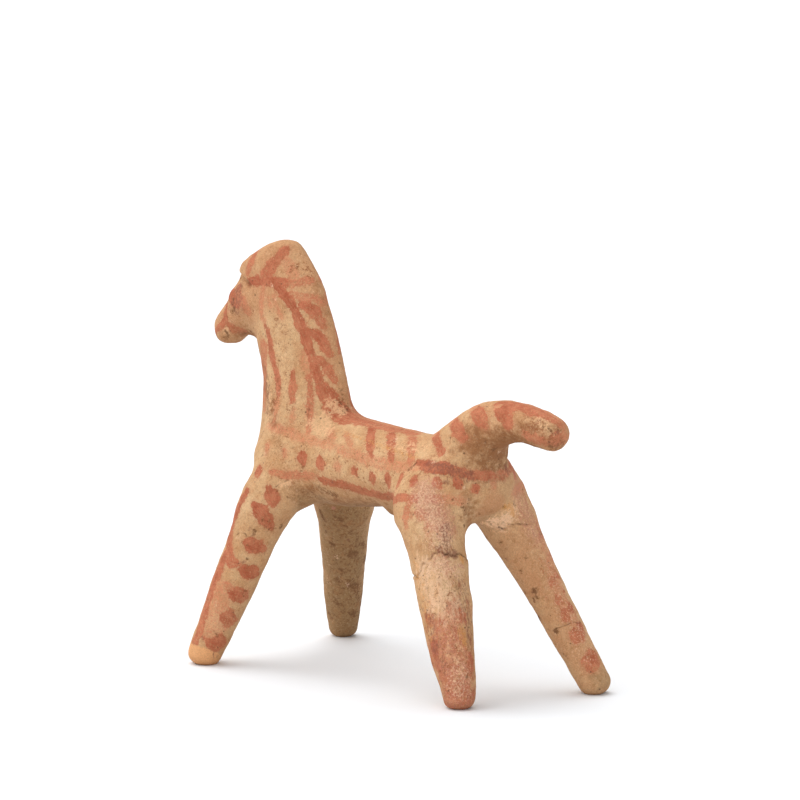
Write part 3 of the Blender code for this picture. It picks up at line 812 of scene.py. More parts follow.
    def washes(self) -> list[Wash]:
        """Gathers the soft patches and the right leg's dark spots.

        Returns:
            All of them.
        """
        spots = []
        for at, turn, reach in self.stains:
            spots.append(Wash(Tone.GRIME_AND_SHADE, Part.HIND_RIGHT, self.stain_strength, reach, ((at, turn),)))
        return self.marks(Wash) + spots


def through(values: Sequence[float], share: float) -> float:
    """Runs a smooth curve through values.

    Args:
        values: the values, evenly weighted.
        share: how far along them, from 0 to 1.

    Returns:
        The value there.
    """
    spans = len(values) - 1
    i = min(int(share * spans), spans - 1)
    t = share * spans - i
    a, b = values[i], values[i + 1]
    before = values[i - 1] if i else 2 * a - b
    after = values[i + 2] if i + 2 < len(values) else 2 * b - a
    steep = 2 * before - 5 * a + 4 * b - after
    bend = 3 * a - before - 3 * b + after
    return 0.5 * (2 * a + (b - before) * t + steep * t**2 + bend * t**3)


def select_only(piece: bpy.types.Object) -> None:
    """Makes one object the selected and active one.

    Args:
        piece: the object.
    """
    bpy.ops.object.select_all(action="DESELECT")
    piece.select_set(True)
    bpy.context.view_layer.objects.active = piece


def linear(colour: str) -> tuple[float, float, float, float]:
    """Turns an sRGB colour to a linear one.

    Args:
        colour: the colour in hex, such as "C9A070".

    Returns:
        Its linear red, green, blue and alpha.
    """
    parts = [int(colour[k : k + 2], 16) / 255 for k in (0, 2, 4)]
    red, green, blue = (p / 12.92 if p <= 0.04045 else ((p + 0.055) / 1.055) ** 2.4 for p in parts)
    return red, green, blue, 1.0


class Skin:
    """The clay surface while it is worked, in millimetres.

    Attributes:
        points: the mesh points before any relief.
        normals: their outward directions.
    """

    def __init__(self, piece: bpy.types.Object) -> None:
        """Reads the surface of a piece.

        Args:
            piece: the object whose mesh is worked.
        """
        mesh = piece.data
        count = len(mesh.vertices)
        points = np.empty(count * 3)
        mesh.vertices.foreach_get("co", points)
        normals = np.empty(count * 3)
        mesh.vertex_normals.foreach_get("vector", normals)
        self.points = points.reshape(-1, 3) / MM
        self.normals = normals.reshape(-1, 3)
        self.tree = BVHTree.FromObject(piece, bpy.context.evaluated_depsgraph_get())

    def spot(self, part: Part, along: float, turn: float) -> Vector:
        """Finds the point of the surface at a place.

        Args:
            part: the roll that the place is counted on.
            along: millimetres along its guide.
            turn: degrees round it.

        Returns:
            The point, in millimetres, or the nearest one where the place is past the roll's end.
        """
        start, way = GUIDES[part].ray(along, turn)
        found = self.tree.ray_cast(start * MM, way)[0] or self.tree.find_nearest(start * MM)[0]
        return found / MM

    def path(self, part: Part, places: Sequence[Place], step: float = 0.6) -> np.ndarray:
        """Lays a smooth line over the surface.

        Args:
            part: the roll that the places are counted on.
            places: the places that the line passes.
            step: about how far apart its points are, in millimetres.

        Returns:
            The line's points, one row each.
        """
        if len(places) == 1:
            places = (places[0], (places[0][0] + DOT, places[0][1]))
        spots = [self.spot(part, *place) for place in places]
        length = sum((b - a).length for a, b in zip(spots, spots[1:]))
        count = max(2, math.ceil(length / step))
        alongs, turns = zip(*places)
        shares = [k / count for k in range(count + 1)]
        return np.array([self.spot(part, through(alongs, s), through(turns, s)) for s in shares])

    def near(self, path: np.ndarray, reach: float) -> tuple[np.ndarray, np.ndarray, np.ndarray, np.ndarray]:
        """Measures the surface against a line.

        Args:
            path: the line's points.
            reach: how far from the line is looked, in millimetres.

        Returns:
            The numbers of the points in reach, then their distance from the line, how far along it they
            are and how far to its side, in millimetres.
        """
        low, high = path.min(0) - reach, path.max(0) + reach
        chosen = np.flatnonzero(((self.points > low) & (self.points < high)).all(1))
        points, normals = self.points[chosen], self.normals[chosen]
        gap = np.full(len(chosen), np.inf)
        along, across = np.zeros(len(chosen)), np.zeros(len(chosen))
        walked = 0.0
        for a, b in zip(path, path[1:]):
            length = max(float(np.linalg.norm(b - a)), TINY)
            way = (b - a) / length
            ahead = ((points - a) @ way).clip(0, length)
            off = points - a - ahead[:, None] * way
            far = np.linalg.norm(off, axis=1)
            closer = far < gap
            gap[closer] = far[closer]
            along[closer] = walked + ahead[closer]
            across[closer] = (off * np.cross(way, normals)).sum(1)[closer]
            walked += length
        kept = gap < reach
        return chosen[kept], gap[kept], along[kept], across[kept]


@dataclass
class ClayBody:
    """The figure's clay: its mesh and its relief. Lengths are millimetres.

    Attributes:
        sections: the parts whose grooves and presses it takes.
        node: the solid that it stands for.
        weld: how near to each other the solid's loose points are one.
        grain: edge length of the worked mesh.
        strokes_all: smoothing strokes all over, which wipe out the solid's flat faces.
        smoothed: how far a smoothing stroke moves the clay, as a share of the way to even.
        drawn_out: the same for the strokes after them that draw the clay out again.
        strokes_hips: further strokes over the shoulders and haunches.
        lumps: size and height of the unevenness that fingers leave, from coarse to fine.
        slip: how thick the slip lies, in millimetres.
        pits: how many pits are left where grit fell out.
        pit_radius: smallest and largest radius of a pit.
        pit_depth: depth of a pit as a share of its radius.
        pit_dot: length of the line that a pit is measured from.
        pit_far: how far out a pit is followed, in its radii.
        pit_steep: how steeply a pit's edge falls.
        pit_darkening: how dark a pit is painted at its middle.
        pit_margin: how far round a pit the mesh is cut finer.
        press_steep: how steeply a finger's press falls from its edge.
        press_far: how far out it is followed, in its reaches.
        crack_step: how far apart the points of a crack's line are.
        crack_bends: size of the bends in a crack, and how far it strays in them for its jaggedness.
        crack_margin: how far beside a crack the mesh is cut finer.
        crack_far: how far beside a crack it is followed, in its half widths.
        crack_full: half the width of the narrowest groove that isn't darkened in full, with dirt and painted
            shade.
        crack_dirt_and_shade: how far the darkening in a groove reaches, as a share of half its width.
        lip_place: how far beside a crack its lip stands, in half widths.
        lip_width: half the width of that lip, in half widths of the crack.
        foot_wear: height above the ground below which the relief dies away.
        hips: where the legs and the tail join the trunk, and how far the smoothing reaches.
        draw: where the pits are drawn from.
    """

    sections: Sequence[Section]
    node: str = "terracotta_horse"
    weld: float = 0.001
    grain: float = 0.64
    strokes_all: int = 14
    smoothed: float = 0.5
    drawn_out: float = -0.53
    strokes_hips: int = 60
    lumps: tuple[tuple[float, float], ...] = ((13.0, 0.32), (4.6, 0.16), (1.7, 0.09))
    slip: float = 0.12
    pits: int = 110
    pit_radius: tuple[float, float] = (0.3, 0.8)
    pit_depth: float = 0.35
    pit_dot: float = 0.01
    pit_far: float = 1.5
    pit_steep: float = 2.5
    pit_darkening: float = 0.75
    pit_margin: float = 0.5
    press_steep: float = 2.0
    press_far: float = 2.0
    crack_step: float = 0.45
    crack_bends: tuple[float, float] = (1.3, 1.8)
    crack_margin: float = 1.2
    crack_far: float = 5.0
    crack_full: float = 0.3
    crack_dirt_and_shade: float = 0.8
    lip_place: float = 1.9
    lip_width: float = 1.2
    foot_wear: float = 1.2
    hips: tuple[tuple[Part, Place, float], ...] = (
        (Part.FORE_LEFT, (-4.0, 0.0), 9.0),
        (Part.FORE_RIGHT, (-4.0, 0.0), 9.0),
        (Part.HIND_LEFT, (-4.0, 0.0), 9.0),
        (Part.HIND_RIGHT, (-4.0, 0.0), 9.0),
        (Part.RUMP, (24.0, 90.0), 9.0),
    )
    draw: random.Random = field(default_factory=lambda: random.Random(SEED))

    def block_out(self) -> bpy.types.Object:
        """Copies the solid and gives it an even, fine mesh.

        Returns:
            The new piece.
        """
        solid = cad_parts[self.node]
        piece = bpy.data.objects.new("painted_terracotta_horse", solid.data.copy())
        piece.data.materials.clear()
        bpy.context.scene.collection.objects.link(piece)
        select_only(piece)
        bpy.ops.object.mode_set(mode="EDIT")
        bpy.ops.mesh.select_all(action="SELECT")
        bpy.ops.mesh.remove_doubles(threshold=self.weld * MM)
        bpy.ops.object.mode_set(mode="OBJECT")
        even = piece.modifiers.new("even mesh", "REMESH")
        even.mode = "VOXEL"
        even.voxel_size = self.grain * MM
        even.use_smooth_shade = True
        bpy.ops.object.modifier_apply(modifier=even.name)
        for factor in (self.smoothed, self.drawn_out):
            wiped = piece.modifiers.new("wiped smooth", "SMOOTH")
            wiped.factor = factor
            wiped.iterations = self.strokes_all
            bpy.ops.object.modifier_apply(modifier=wiped.name)
        return piece

    def ease_hips(self, piece: bpy.types.Object) -> None:
        """Smooths the shoulders and haunches into the trunk.

        Args:
            piece: the clay.
        """
        skin = Skin(piece)
        group = piece.vertex_groups.new(name="hips")
        for part, place, reach in self.hips:
            chosen, gap, _, _ = skin.near(skin.path(part, (place,)), reach)
            for number, share in zip(chosen.tolist(), (1 - (gap / reach) ** 2).tolist()):
                group.add([number], share, "ADD")
        eased = piece.modifiers.new("eased hips", "SMOOTH")
        eased.factor = self.smoothed
        eased.iterations = self.strokes_hips
        eased.vertex_group = group.name
        bpy.ops.object.modifier_apply(modifier=eased.name)
        piece.vertex_groups.clear()

    def refine(self, piece: bpy.types.Object, spots: Sequence[tuple[np.ndarray, float]], cuts: int) -> None:
        """Cuts the mesh finer along lines.

        Args:
            piece: the clay.
            spots: lines and how far to each side of them the mesh is cut, in millimetres.
            cuts: into how many rows more each face is cut.
        """
        mesh = piece.data
        centres = np.empty(len(mesh.polygons) * 3)
        mesh.polygons.foreach_get("center", centres)
        centres = centres.reshape(-1, 3) / MM
        chosen = np.zeros(len(centres), bool)
        for path, reach in spots:
            for point in path:
                chosen |= ((centres - point) ** 2).sum(1) < reach**2
        select_only(piece)
        bpy.ops.object.mode_set(mode="EDIT")
        bpy.ops.mesh.select_mode(type="FACE")
        bpy.ops.mesh.select_all(action="DESELECT")
        bpy.ops.object.mode_set(mode="OBJECT")
        mesh.polygons.foreach_set("select", chosen)
        bpy.ops.object.mode_set(mode="EDIT")
        bpy.ops.mesh.subdivide(number_cuts=cuts)
        bpy.ops.object.mode_set(mode="OBJECT")

    def pit_places(self, skin: Skin) -> list[tuple[np.ndarray, float]]:
        """Draws where the pits are.

        Args:
            skin: the clay's surface.

        Returns:
            The middle and radius of each, in millimetres.
        """
        found = []
        small, large = self.pit_radius
        for _ in range(self.pits):
            number = self.draw.randrange(len(skin.points))
            found.append((skin.points[number], small + (large - small) * self.draw.random() ** 2))
        return found

    def groove_path(self, skin: Skin, groove: Groove) -> np.ndarray:
        """Lays the line of a groove, straying as clay cracks.

        Args:
            skin: the clay's surface.
            groove: the groove.

        Returns:
            The line's points, one row each.
        """
        path = skin.path(groove.part, groove.line, step=self.crack_step)
        size, far = self.crack_bends
        stray = [noise.noise_vector(Vector(point) / size) * groove.jagged * far for point in path]
        return path + np.array(stray)

    def marks(self, kind: type[Mark]) -> list[Mark]:
        """All marks of one kind."""
        return [mark for section in self.sections for mark in section.marks(kind)]

    def pressed(self, skin: Skin) -> np.ndarray:
        """Works out the slip's thickness and the unevenness and presses that fingers left.

        Args:
            skin: the clay's surface.

        Returns:
            The height of each point over it, in millimetres.
        """
        height = np.full(len(skin.points), self.slip)
        for size, tall in self.lumps:
            height += tall * np.array([noise.noise(Vector(point) / size) for point in skin.points])
        for press in self.marks(Press):
            middle = skin.path(press.part, (press.place,))
            chosen, gap, _, _ = skin.near(middle, press.reach * self.press_far)
            height[chosen] -= press.depth * np.exp(-((gap / press.reach) ** 2) * self.press_steep)
        return height

    def sink_pit(
        self, skin: Skin, middle: np.ndarray, radius: float, height: np.ndarray, dark: np.ndarray
    ) -> None:
        """Sinks a pit and darkens it.

        Args:
            skin: the clay's surface.
            middle: the pit's middle, in millimetres.
            radius: its radius, in millimetres.
            height: the height of each point, which it lowers.
            dark: how dark each point is painted, which it adds to.
        """
        spot = np.array([middle, middle + self.pit_dot])
        chosen, gap, _, _ = skin.near(spot, radius * self.pit_far)
        cup = np.exp(-((gap / radius) ** 2) * self.pit_steep)
        height[chosen] -= self.pit_depth * radius * cup
        dark[chosen] = np.maximum(dark[chosen], self.pit_darkening * cup)

    def cut_groove(
        self, skin: Skin, groove: Groove, path: np.ndarray, height: np.ndarray, dark: np.ndarray
    ) -> None:
        """Cuts a groove, darkened with dirt and painted shade, and its lip beside it.

        Args:
            skin: the clay's surface.
            groove: the groove.
            path: the points of its line.
            height: the height of each point, which it changes.
            dark: how dark each point is painted, which it adds to.
        """
        wide = groove.width
        chosen, gap, _, across = skin.near(path, wide * self.crack_far)
        cut = np.exp(-((gap / wide) ** 2))
        ledge = np.exp(-(((across - self.lip_place * wide) / (self.lip_width * wide)) ** 2))
        height[chosen] += groove.lip * ledge - groove.depth * cut
        filled = min(1.0, self.crack_full / wide) * np.exp(-((gap / (self.crack_dirt_and_shade * wide)) ** 2))
        dark[chosen] = np.maximum(dark[chosen], filled)

    def work(self) -> tuple[bpy.types.Object, Skin, np.ndarray]:
        """Makes the clay with all its relief.

        Returns:
            The piece, its surface before the relief and how deep in a groove or pit each point is.
        """
        # Noise with a direction takes its start from the clock unless it has a seed
        noise.seed_set(SEED)
        piece = self.block_out()
        self.ease_hips(piece)
        coarse = Skin(piece)
        cracks = [(groove, self.groove_path(coarse, groove)) for groove in self.marks(Groove)]
        pits = self.pit_places(coarse)
        self.refine(piece, [(path, self.crack_margin + groove.width) for groove, path in cracks], cuts=2)
        self.refine(piece, [(middle[None, :], radius + self.pit_margin) for middle, radius in pits], cuts=1)
        skin = Skin(piece)
        height = self.pressed(skin)
        dark = np.zeros(len(skin.points))
        for middle, radius in pits:
            self.sink_pit(skin, middle, radius, height, dark)
        for groove, path in cracks:
            self.cut_groove(skin, groove, path, height, dark)
        height *= (skin.points[:, 2] / self.foot_wear).clip(0, 1)
        points = (skin.points + skin.normals * height[:, None]) * MM
        low, high = (np.array(corner) for corner in CAD_BOX)
        piece.data.vertices.foreach_set("co", points.clip(low, high).ravel())
        piece.data.update()
        return piece, skin, dark


@dataclass
class Brushwork:
    """The red brushwork and the soft tones, laid on the clay as mesh attributes.

    Attributes:
        sections: the parts whose strokes and washes it lays.
        clear: value of the paint attribute where there is no paint, in millimetres from its edge.
        wobble: how much the brush's width changes along a stroke, as a share.
        spent: how much of its paint a brush loses along a stroke, as a share.
        run: how much wider than the brush the wet slip ran, in millimetres.
        ripples: the waves in a brush's width: radians per millimetre, shift between strokes, share.
        blunt: how long a stroke keeps its width before it narrows at its ends.
        apart: how far apart the strokes lie in the pattern of the brush's hairs, in millimetres.
        scattered: tone, how many, smallest and largest radius, and strongest of the small spots all over.
        weak: the weakest spot, as a share of the strongest.
        draw: where the far side's strokes and the spots are drawn from.
    """

    sections: Sequence[Section]
    scattered: tuple[tuple[Tone, int, float, float, float], ...] = (
        (Tone.GRIME_AND_SHADE, 200, 0.35, 1.1, 0.8),
        (Tone.LIME, 70, 0.4, 1.3, 0.6),
        (Tone.PLUM, 60, 0.4, 1.2, 0.7),
    )
    clear: float = -2.2
    wobble: float = 0.13
    spent: float = 0.15
    run: float = 0.5
    ripples: Rows = ((0.9, 1.0, 0.6), (2.3, 2.3, 0.4))
    blunt: float = 2.5
    apart: float = 7.3
    weak: float = 0.6
    draw: random.Random = field(default_factory=lambda: random.Random(SEED))

    def strokes(self) -> list[Stroke]:
        """All strokes, the far side's last."""
        near = [stroke for section in self.sections for stroke in section.near_strokes()]
        return near + [stroke for section in self.sections for stroke in section.far_strokes(self.draw)]

    def spots(self, skin: Skin) -> list[tuple[Tone, np.ndarray, float, float]]:
        """Draws the small spots all over.

        Args:
            skin: the clay's surface.

        Returns:
            Tone, line, reach in millimetres and strength of each.
        """
        found = []
        for tone, count, small, large, strongest in self.scattered:
            for _ in range(count):
                middle = skin.points[self.draw.randrange(len(skin.points))]
                reach = small + (large - small) * self.draw.random() ** 2
                drawn = np.array([self.draw.uniform(-1, 1) for _ in range(3)]) * reach
                strength = strongest * self.draw.uniform(self.weak, 1)
                found.append((tone, np.array([middle, middle + drawn]), reach, strength))
        return found

    def stroked(self, skin: Skin) -> tuple[np.ndarray, np.ndarray, np.ndarray]:
        """Lays the strokes. Where some meet, the one that a point lies deepest in shows.

        Args:
            skin: the clay's surface.

        Returns:
            For each point how far it is inside a stroke in millimetres, how much paint the brush left there,
            and where it lies in the pattern of the brush's hairs.
        """
        strokes = self.strokes()
        log.info("brushwork: %d strokes", len(strokes))
        paint = np.full(len(skin.points), self.clear)
        load = np.zeros(len(skin.points))
        brush = np.zeros((len(skin.points), 3))
        for number, stroke in enumerate(strokes):
            path = skin.path(stroke.part, stroke.line)
            half = (stroke.width + self.run) / 2
            chosen, gap, along, across = skin.near(path, half - self.clear)
            share = along / np.linalg.norm(np.diff(path, axis=0), axis=1).sum()
            waves = [np.sin(along * rate + shift * number) * tall for rate, shift, tall in self.ripples]
            narrow = 1 - stroke.taper * abs(2 * share - 1) ** self.blunt
            depth = half * narrow * (1 + self.wobble * sum(waves)) - gap
            over = depth > paint[chosen]
            chosen = chosen[over]
            paint[chosen] = depth[over]
            load[chosen] = stroke.load * (1 - self.spent * share[over])
            place = np.full(len(chosen), self.apart * number)
            brush[chosen] = np.stack([along[over], across[over], place], 1)
        return paint, load, brush

    def toned(self, skin: Skin) -> dict[str, np.ndarray]:
        """Lays the soft tones.

        Args:
            skin: the clay's surface.

        Returns:
            How strong each tone is on each point, by the tone's name.
        """
        patches = []
        for wash in [wash for section in self.sections for wash in section.washes()]:
            patches.append((wash.tone, skin.path(wash.part, wash.line), wash.reach, wash.strength))
        log.info("tones: %d soft patches", len(patches))
        layers = {tone.value: np.zeros(len(skin.points)) for tone in Tone}
        for tone, path, reach, strength in patches + self.spots(skin):
            chosen, gap, _, _ = skin.near(path, reach)
            layer = layers[tone.value]
            layer[chosen] = np.maximum(layer[chosen], strength * (1 - (gap / reach) ** 2))
        return layers

    def lay(self, piece: bpy.types.Object, skin: Skin, dark: np.ndarray) -> None:
        """Writes the strokes, the tones, the darkening of hollows (dirt and painted shade) and how far each
        point faces down (for painted shade) into the mesh, as attributes of its points.

        Args:
            piece: the clay.
            skin: its surface before the relief.
            dark: how deep in a groove or pit each point is.
        """
        paint, load, brush = self.stroked(skin)
        # How far each point faces down, which the material darkens as painted shade
        under = (-skin.normals[:, 2]).clip(0, 1)
        values = {"paint": paint, "load": load, "dark": dark, "under": under, **self.toned(skin)}
        for name, value in values.items():
            attribute = piece.data.attributes.new(name, "FLOAT", "POINT")
            attribute.data.foreach_set("value", value.astype(np.float32))
        attribute = piece.data.attributes.new("brush", "FLOAT_VECTOR", "POINT")
        attribute.data.foreach_set("vector", brush.astype(np.float32).ravel())


def add_node(
    tree: bpy.types.NodeTree, kind: str, sockets: dict[str | int, Any] | None = None, **settings: Any
) -> bpy.types.Node:
    """Adds a shader node.

    Args:
        tree: the material's node tree.
        kind: the node's type, without the words that all types start with.
        sockets: values for its inputs, or outputs of other nodes to link to them. A node stands for its
            first output that is in use.
        settings: its own settings.

    Returns:
        The node.
    """
    node = tree.nodes.new("ShaderNode" + kind)
    for name, value in settings.items():
        setattr(node, name, value)
    for key, value in (sockets or {}).items():
        if isinstance(value, bpy.types.Node):
            value = next(output for output in value.outputs if output.enabled)
        if isinstance(value, bpy.types.NodeSocket):
            tree.links.new(value, node.inputs[key])
        else:
            node.inputs[key].default_value = value
    return node


def ends(ramp: Ramp) -> dict[str | int, Any]:
    """A ramp as the values of a Map Range node's inputs 1 to 4."""
    return dict(enumerate(ramp, 1))


@dataclass(frozen=True)
class Soil:
    """How one tone covers the clay.

    Attributes:
        tone: which tone it is.
        colour: its colour.
        size: size in millimetres of the patches that it breaks into.
        broken: how much it breaks up, from 0 for an even veil.
        cover: how far it hides what it lies on.
        sparse: how strong the tone has to be before an even veil of it would show.
        rough: how ragged its patches are, from 0 to 1.
        tall: how many times taller than wide they are, where it ran or was wiped down.
    """

    tone: Tone
    colour: str
    size: float
    broken: float
    cover: float
    sparse: float = 0.25
    rough: float = 0.7
    tall: float = 1.0


@dataclass(frozen=True)
class Bench:
    """What the layers of the painted terracotta are made from.

    Attributes:
        add: adds a node to the material.
        mm: positions in millimetres, so that a noise scale is one over the size of its patches.
        noises: the noises, by name.
        laid: what was laid on the clay, by name.
    """

    add: Callable[..., bpy.types.Node]
    mm: bpy.types.Node
    noises: dict[str, bpy.types.Node]
    laid: dict[str, bpy.types.NodeSocket]


@dataclass(frozen=True)
class PaintedTerracotta:
    """Low-fired, hand-modelled terracotta under a thin pale slip, painted with iron-red slip.

    Unglazed and burnished only by the hand, so it is matt everywhere: the paint a little less than the
    slip, the bare clay a little more.

    Attributes:
        slip_light: the slip where it is thick.
        slip_dark: the slip where it is thin.
        slip_thick: where the cloud turns it thick.
        slip_worn: where the mottle lets the clay through.
        clay: bare clay where the slip has gone.
        bare_ragged: how far the mottle moves the edge of bare clay.
        bare_edge: where that edge is.
        flecks: noise, where it starts and is full, colour and cover of the fine flecks in the slip.
        stains: the same for those that lie over the paint too.
        red: iron-red paint where it is thick.
        red_thin: the paint where it is thin.
        faded: how thin it looks for its load, as a slope and a start.
        uneven: what the mottle adds to that.
        edge_wander: how far the mottle and the flakes move a stroke's edge, in millimetres.
        edge: where that edge is.
        veil: the thin wash that ran past it.
        worn: how much load each spot needs to keep its paint.
        kept: the paint that is left for the load above that.
        hairs: the brush's hairs in the paint, stretched along the stroke.
        hair_detail: how fine their noise is.
        hair_rough: how ragged it is.
        hair_streaks: how much they thin the paint.
        loaded: how the paint covers for its load.
        speck: dark grit.
        speck_cover: how far it hides what it lies on.
        grit_spacing: millimetres between dark grains.
        grit_size: how large a grain is for its chance.
        grit_ragged: how ragged the grains are.
        grit_edge: where a grain ends.
        underside_shade: painted shade, a brown that darkens the points that face down.
        shade_patches: how the cloud breaks it up.
        hollow_dirt_and_shade: dirt and painted shade in cracks, creases and pits.
        hollow_patches: how the mottle breaks it up.
        grains: how much the grain lightens and darkens all colours.
        noises: patch size in millimetres, detail and roughness of each noise.
        grounds: the soft tones under the paint, from the lowest to the topmost. Rust and umber among them are
            also painted shade.
        soils: those over it. Grime among them is also painted shade under the jaw, belly and tail.
        soil_detail: how fine the noise is that tears them.
        soil_edge: how soft their torn edges are.
        soil_least: how strong a tone has to be to show in full.
        matt: roughness of the slip, and what the paint adds to it.
        ior: index of refraction of fired clay.
        specular: how little of it shows on a dusty surface.
        relief: height in millimetres that each layer gives the surface: the hand's fine unevenness, the
            paint's thickness, crusts and grit.
        relief_strength: how much of it shows.
    """

    slip_light: str = "D3AC81"
    slip_dark: str = "BF9166"
    slip_thick: Ramp = (0.36, 0.64, 0.0, 1.0)
    slip_worn: Ramp = (0.5, 0.72, 0.0, 0.45)
    clay: str = "DCA270"
    bare_ragged: float = 0.9
    bare_edge: Ramp = (0.62, 0.92, 0.0, 1.0)
    flecks: tuple[tuple[str, float, float, str, float], ...] = (
        ("flake", 0.55, 0.62, "96663E", 0.2),
        ("flake", 0.45, 0.38, "E6C4A0", 0.24),
        ("streak", 0.53, 0.64, "A8754C", 0.42),
        ("mottle", 0.57, 0.63, "92643E", 0.3),
    )
    stains: tuple[tuple[str, float, float, str, float], ...] = (
        ("flake", 0.6, 0.64, "80512F", 0.26),
        ("fleck", 0.625, 0.655, "6A4228", 0.64),
        ("fleck", 0.38, 0.35, "E0BC96", 0.45),
    )
    red: str = "A04C30"
    red_thin: str = "CA7B5A"
    faded: tuple[float, float] = (-1.25, 1.28)
    uneven: Ramp = (0.38, 0.66, -0.15, 0.5)
    edge_wander: tuple[float, float] = (3.2, 2.4)
    edge: Ramp = (2.55, 3.05, 0.0, 1.0)
    veil: Ramp = (1.4, 3.0, 0.0, 0.18)
    worn: Ramp = (0.38, 0.62, 0.0, 1.0)
    kept: Ramp = (-0.12, 0.12, 0.42, 0.97)
    hairs: tuple[float, float, float] = (0.16, 2.2, 1.0)
    hair_detail: float = 3.0
    hair_rough: float = 0.6
    hair_streaks: Ramp = (0.3, 0.6, 0.78, 1.0)
    loaded: Ramp = (0.3, 0.8, 0.72, 1.0)
    speck: str = "5B4230"
    speck_cover: float = 0.7
    grit_spacing: float = 1.7
    grit_size: Ramp = (0.62, 1.0, 0.0, 0.19)
    grit_ragged: float = 0.12
    grit_edge: Ramp = (-0.1, 0.02, 0.0, 1.0)
    underside_shade: str = "764822"
    shade_patches: Ramp = (0.3, 0.7, 0.3, 0.65)
    hollow_dirt_and_shade: str = "472C1A"
    hollow_patches: Ramp = (0.42, 0.6, 0.15, 1.0)
    grains: Ramp = (0.35, 0.65, 0.9, 1.14)
    noises: tuple[tuple[str, float, float, float], ...] = (
        ("cloud", 9.0, 4.0, 0.6),
        ("mottle", 2.4, 6.0, 0.68),
        ("streak", 4.0, 8.0, 0.75),
        ("fleck", 1.6, 8.0, 0.8),
        ("flake", 0.7, 6.0, 0.75),
        ("grain", 0.36, 3.0, 0.6),
        ("fine", 0.2, 2.0, 0.5),
    )
    grounds: tuple[Soil, ...] = (
        Soil(Tone.WARM, "C28D64", 5.0, 1.2, 0.82),
        # Rust and umber: also painted shade under the jaw, belly and tail, in the crotch, along the neck's
        # back edge and on the right foreleg's inner side
        Soil(Tone.RUST_AND_SHADE, "865430", 2.5, 1.6, 0.84),
        Soil(Tone.UMBER_AND_SHADE, "907450", 5.0, 1.2, 0.85),
    )
    soils: tuple[Soil, ...] = (
        Soil(Tone.STREAK, "AC5E40", 1.8, 4.0, 0.62, 0.25, 0.76, 2.2),
        Soil(Tone.CRUST, "E0B186", 1.2, 3.4, 0.82),
        Soil(Tone.BLOOM, "C07F6C", 0.8, 2.2, 0.55),
        Soil(Tone.CREAM, "E6BE9A", 1.0, 4.0, 0.62, 0.25, 0.76, 4.0),
        Soil(Tone.PLUM, "80503F", 0.8, 3.4, 0.72, 0.25, 0.74, 2.2),
        # Grime: dirt, and painted shade under the jaw, belly and tail
        Soil(Tone.GRIME_AND_SHADE, "684226", 0.9, 3.4, 0.8, 0.25, 0.78),
        Soil(Tone.LIME, "E6BE9C", 0.6, 4.5, 0.66, 0.3, 0.76),
        Soil(Tone.OCHRE, "CC9054", 0.8, 2.8, 0.72, 0.25, 0.7, 1.6),
        Soil(Tone.SPECKLE, "8E5434", 1.4, 8.0, 0.8, 0.75, 0.82),
    )
    soil_detail: float = 7.0
    soil_edge: float = 0.6
    soil_least: float = 0.15
    matt: tuple[float, float] = (0.9, -0.08)
    ior: float = 1.45
    specular: float = 0.3
    relief: tuple[tuple[str, float], ...] = (
        ("mottle", 0.22), ("flake", 0.16), ("grain", 0.1), ("fine", 0.04), ("paint", 0.03),
        ("crust", 0.2), ("speck", -0.12),
    )
    relief_strength: float = 0.9

    def make(self) -> bpy.types.Material:
        """Builds the material.

        Returns:
            The material.
        """
        material = bpy.data.materials.new("painted_terracotta")
        material.use_nodes = True
        tree = material.node_tree
        shader = tree.nodes["Principled BSDF"]
        bench = self.bench(partial(add_node, tree))
        bare, speck = self.bare(bench), self.specks(bench)
        paint = self.paint(bench, bare)
        colour = self.painted(bench, bare, paint)
        colour = self.dirtied(bench, colour, speck)
        tree.links.new(colour.outputs["Color"], shader.inputs["Base Color"])

        slip, painted = self.matt
        rough = bench.add("Math", {0: paint, 1: painted, 2: slip}, operation="MULTIPLY_ADD")
        tree.links.new(rough.outputs["Value"], shader.inputs["Roughness"])
        shader.inputs["IOR"].default_value = self.ior
        shader.inputs["Specular IOR Level"].default_value = self.specular

        layers = {**bench.noises, "paint": paint, "crust": bench.laid["crust"], "speck": speck}
        height = 0.0
        for name, tall in self.relief:
            height = bench.add("Math", {0: layers[name], 1: tall, 2: height}, operation="MULTIPLY_ADD")
        bump = bench.add("Bump", {"Height": height, "Distance": MM, "Strength": self.relief_strength})
        tree.links.new(bump.outputs["Normal"], shader.inputs["Normal"])
        return material

    def bench(self, add: Callable[..., bpy.types.Node]) -> Bench:
        """Sets out what the layers are made from.

        Args:
            add: adds a node to the material.

        Returns:
            All of it.
        """
        names = ("paint", "load", "dark", "under", *(tone.value for tone in Tone))
        laid = {name: add("Attribute", attribute_name=name).outputs["Fac"] for name in names}
        place = add("TexCoord").outputs["Object"]
        mm = add("Mapping", {"Vector": place, "Scale": (1 / MM,) * 3})
        noises = {}
        for name, size, detail, rough in self.noises:
            sockets = {"Vector": mm, "Scale": 1 / size, "Detail": detail, "Roughness": rough}
            noises[name] = add("TexNoise", sockets)
        return Bench(add, mm, noises, laid)

    def painted(self, bench: Bench, bare: bpy.types.Node, paint: bpy.types.Node) -> bpy.types.Node:
        """Builds the colour up from the slip to the red, as the painter did, with painted shade among the
        tones under the red.

        Args:
            bench: what it is made from.
            bare: where the slip has gone.
            paint: how far the red covers.

        Returns:
            The colour of the clean figure.
        """
        colour = self.slip(bench)
        colour = self.soiled(bench, self.grounds, colour)
        colour = self.flecked(bench, self.flecks, colour)
        colour = bench.add("Mix", {0: bare, 6: colour, 7: linear(self.clay)}, data_type="RGBA")
        return bench.add("Mix", {0: paint, 6: colour, 7: self.iron_red(bench)}, data_type="RGBA")

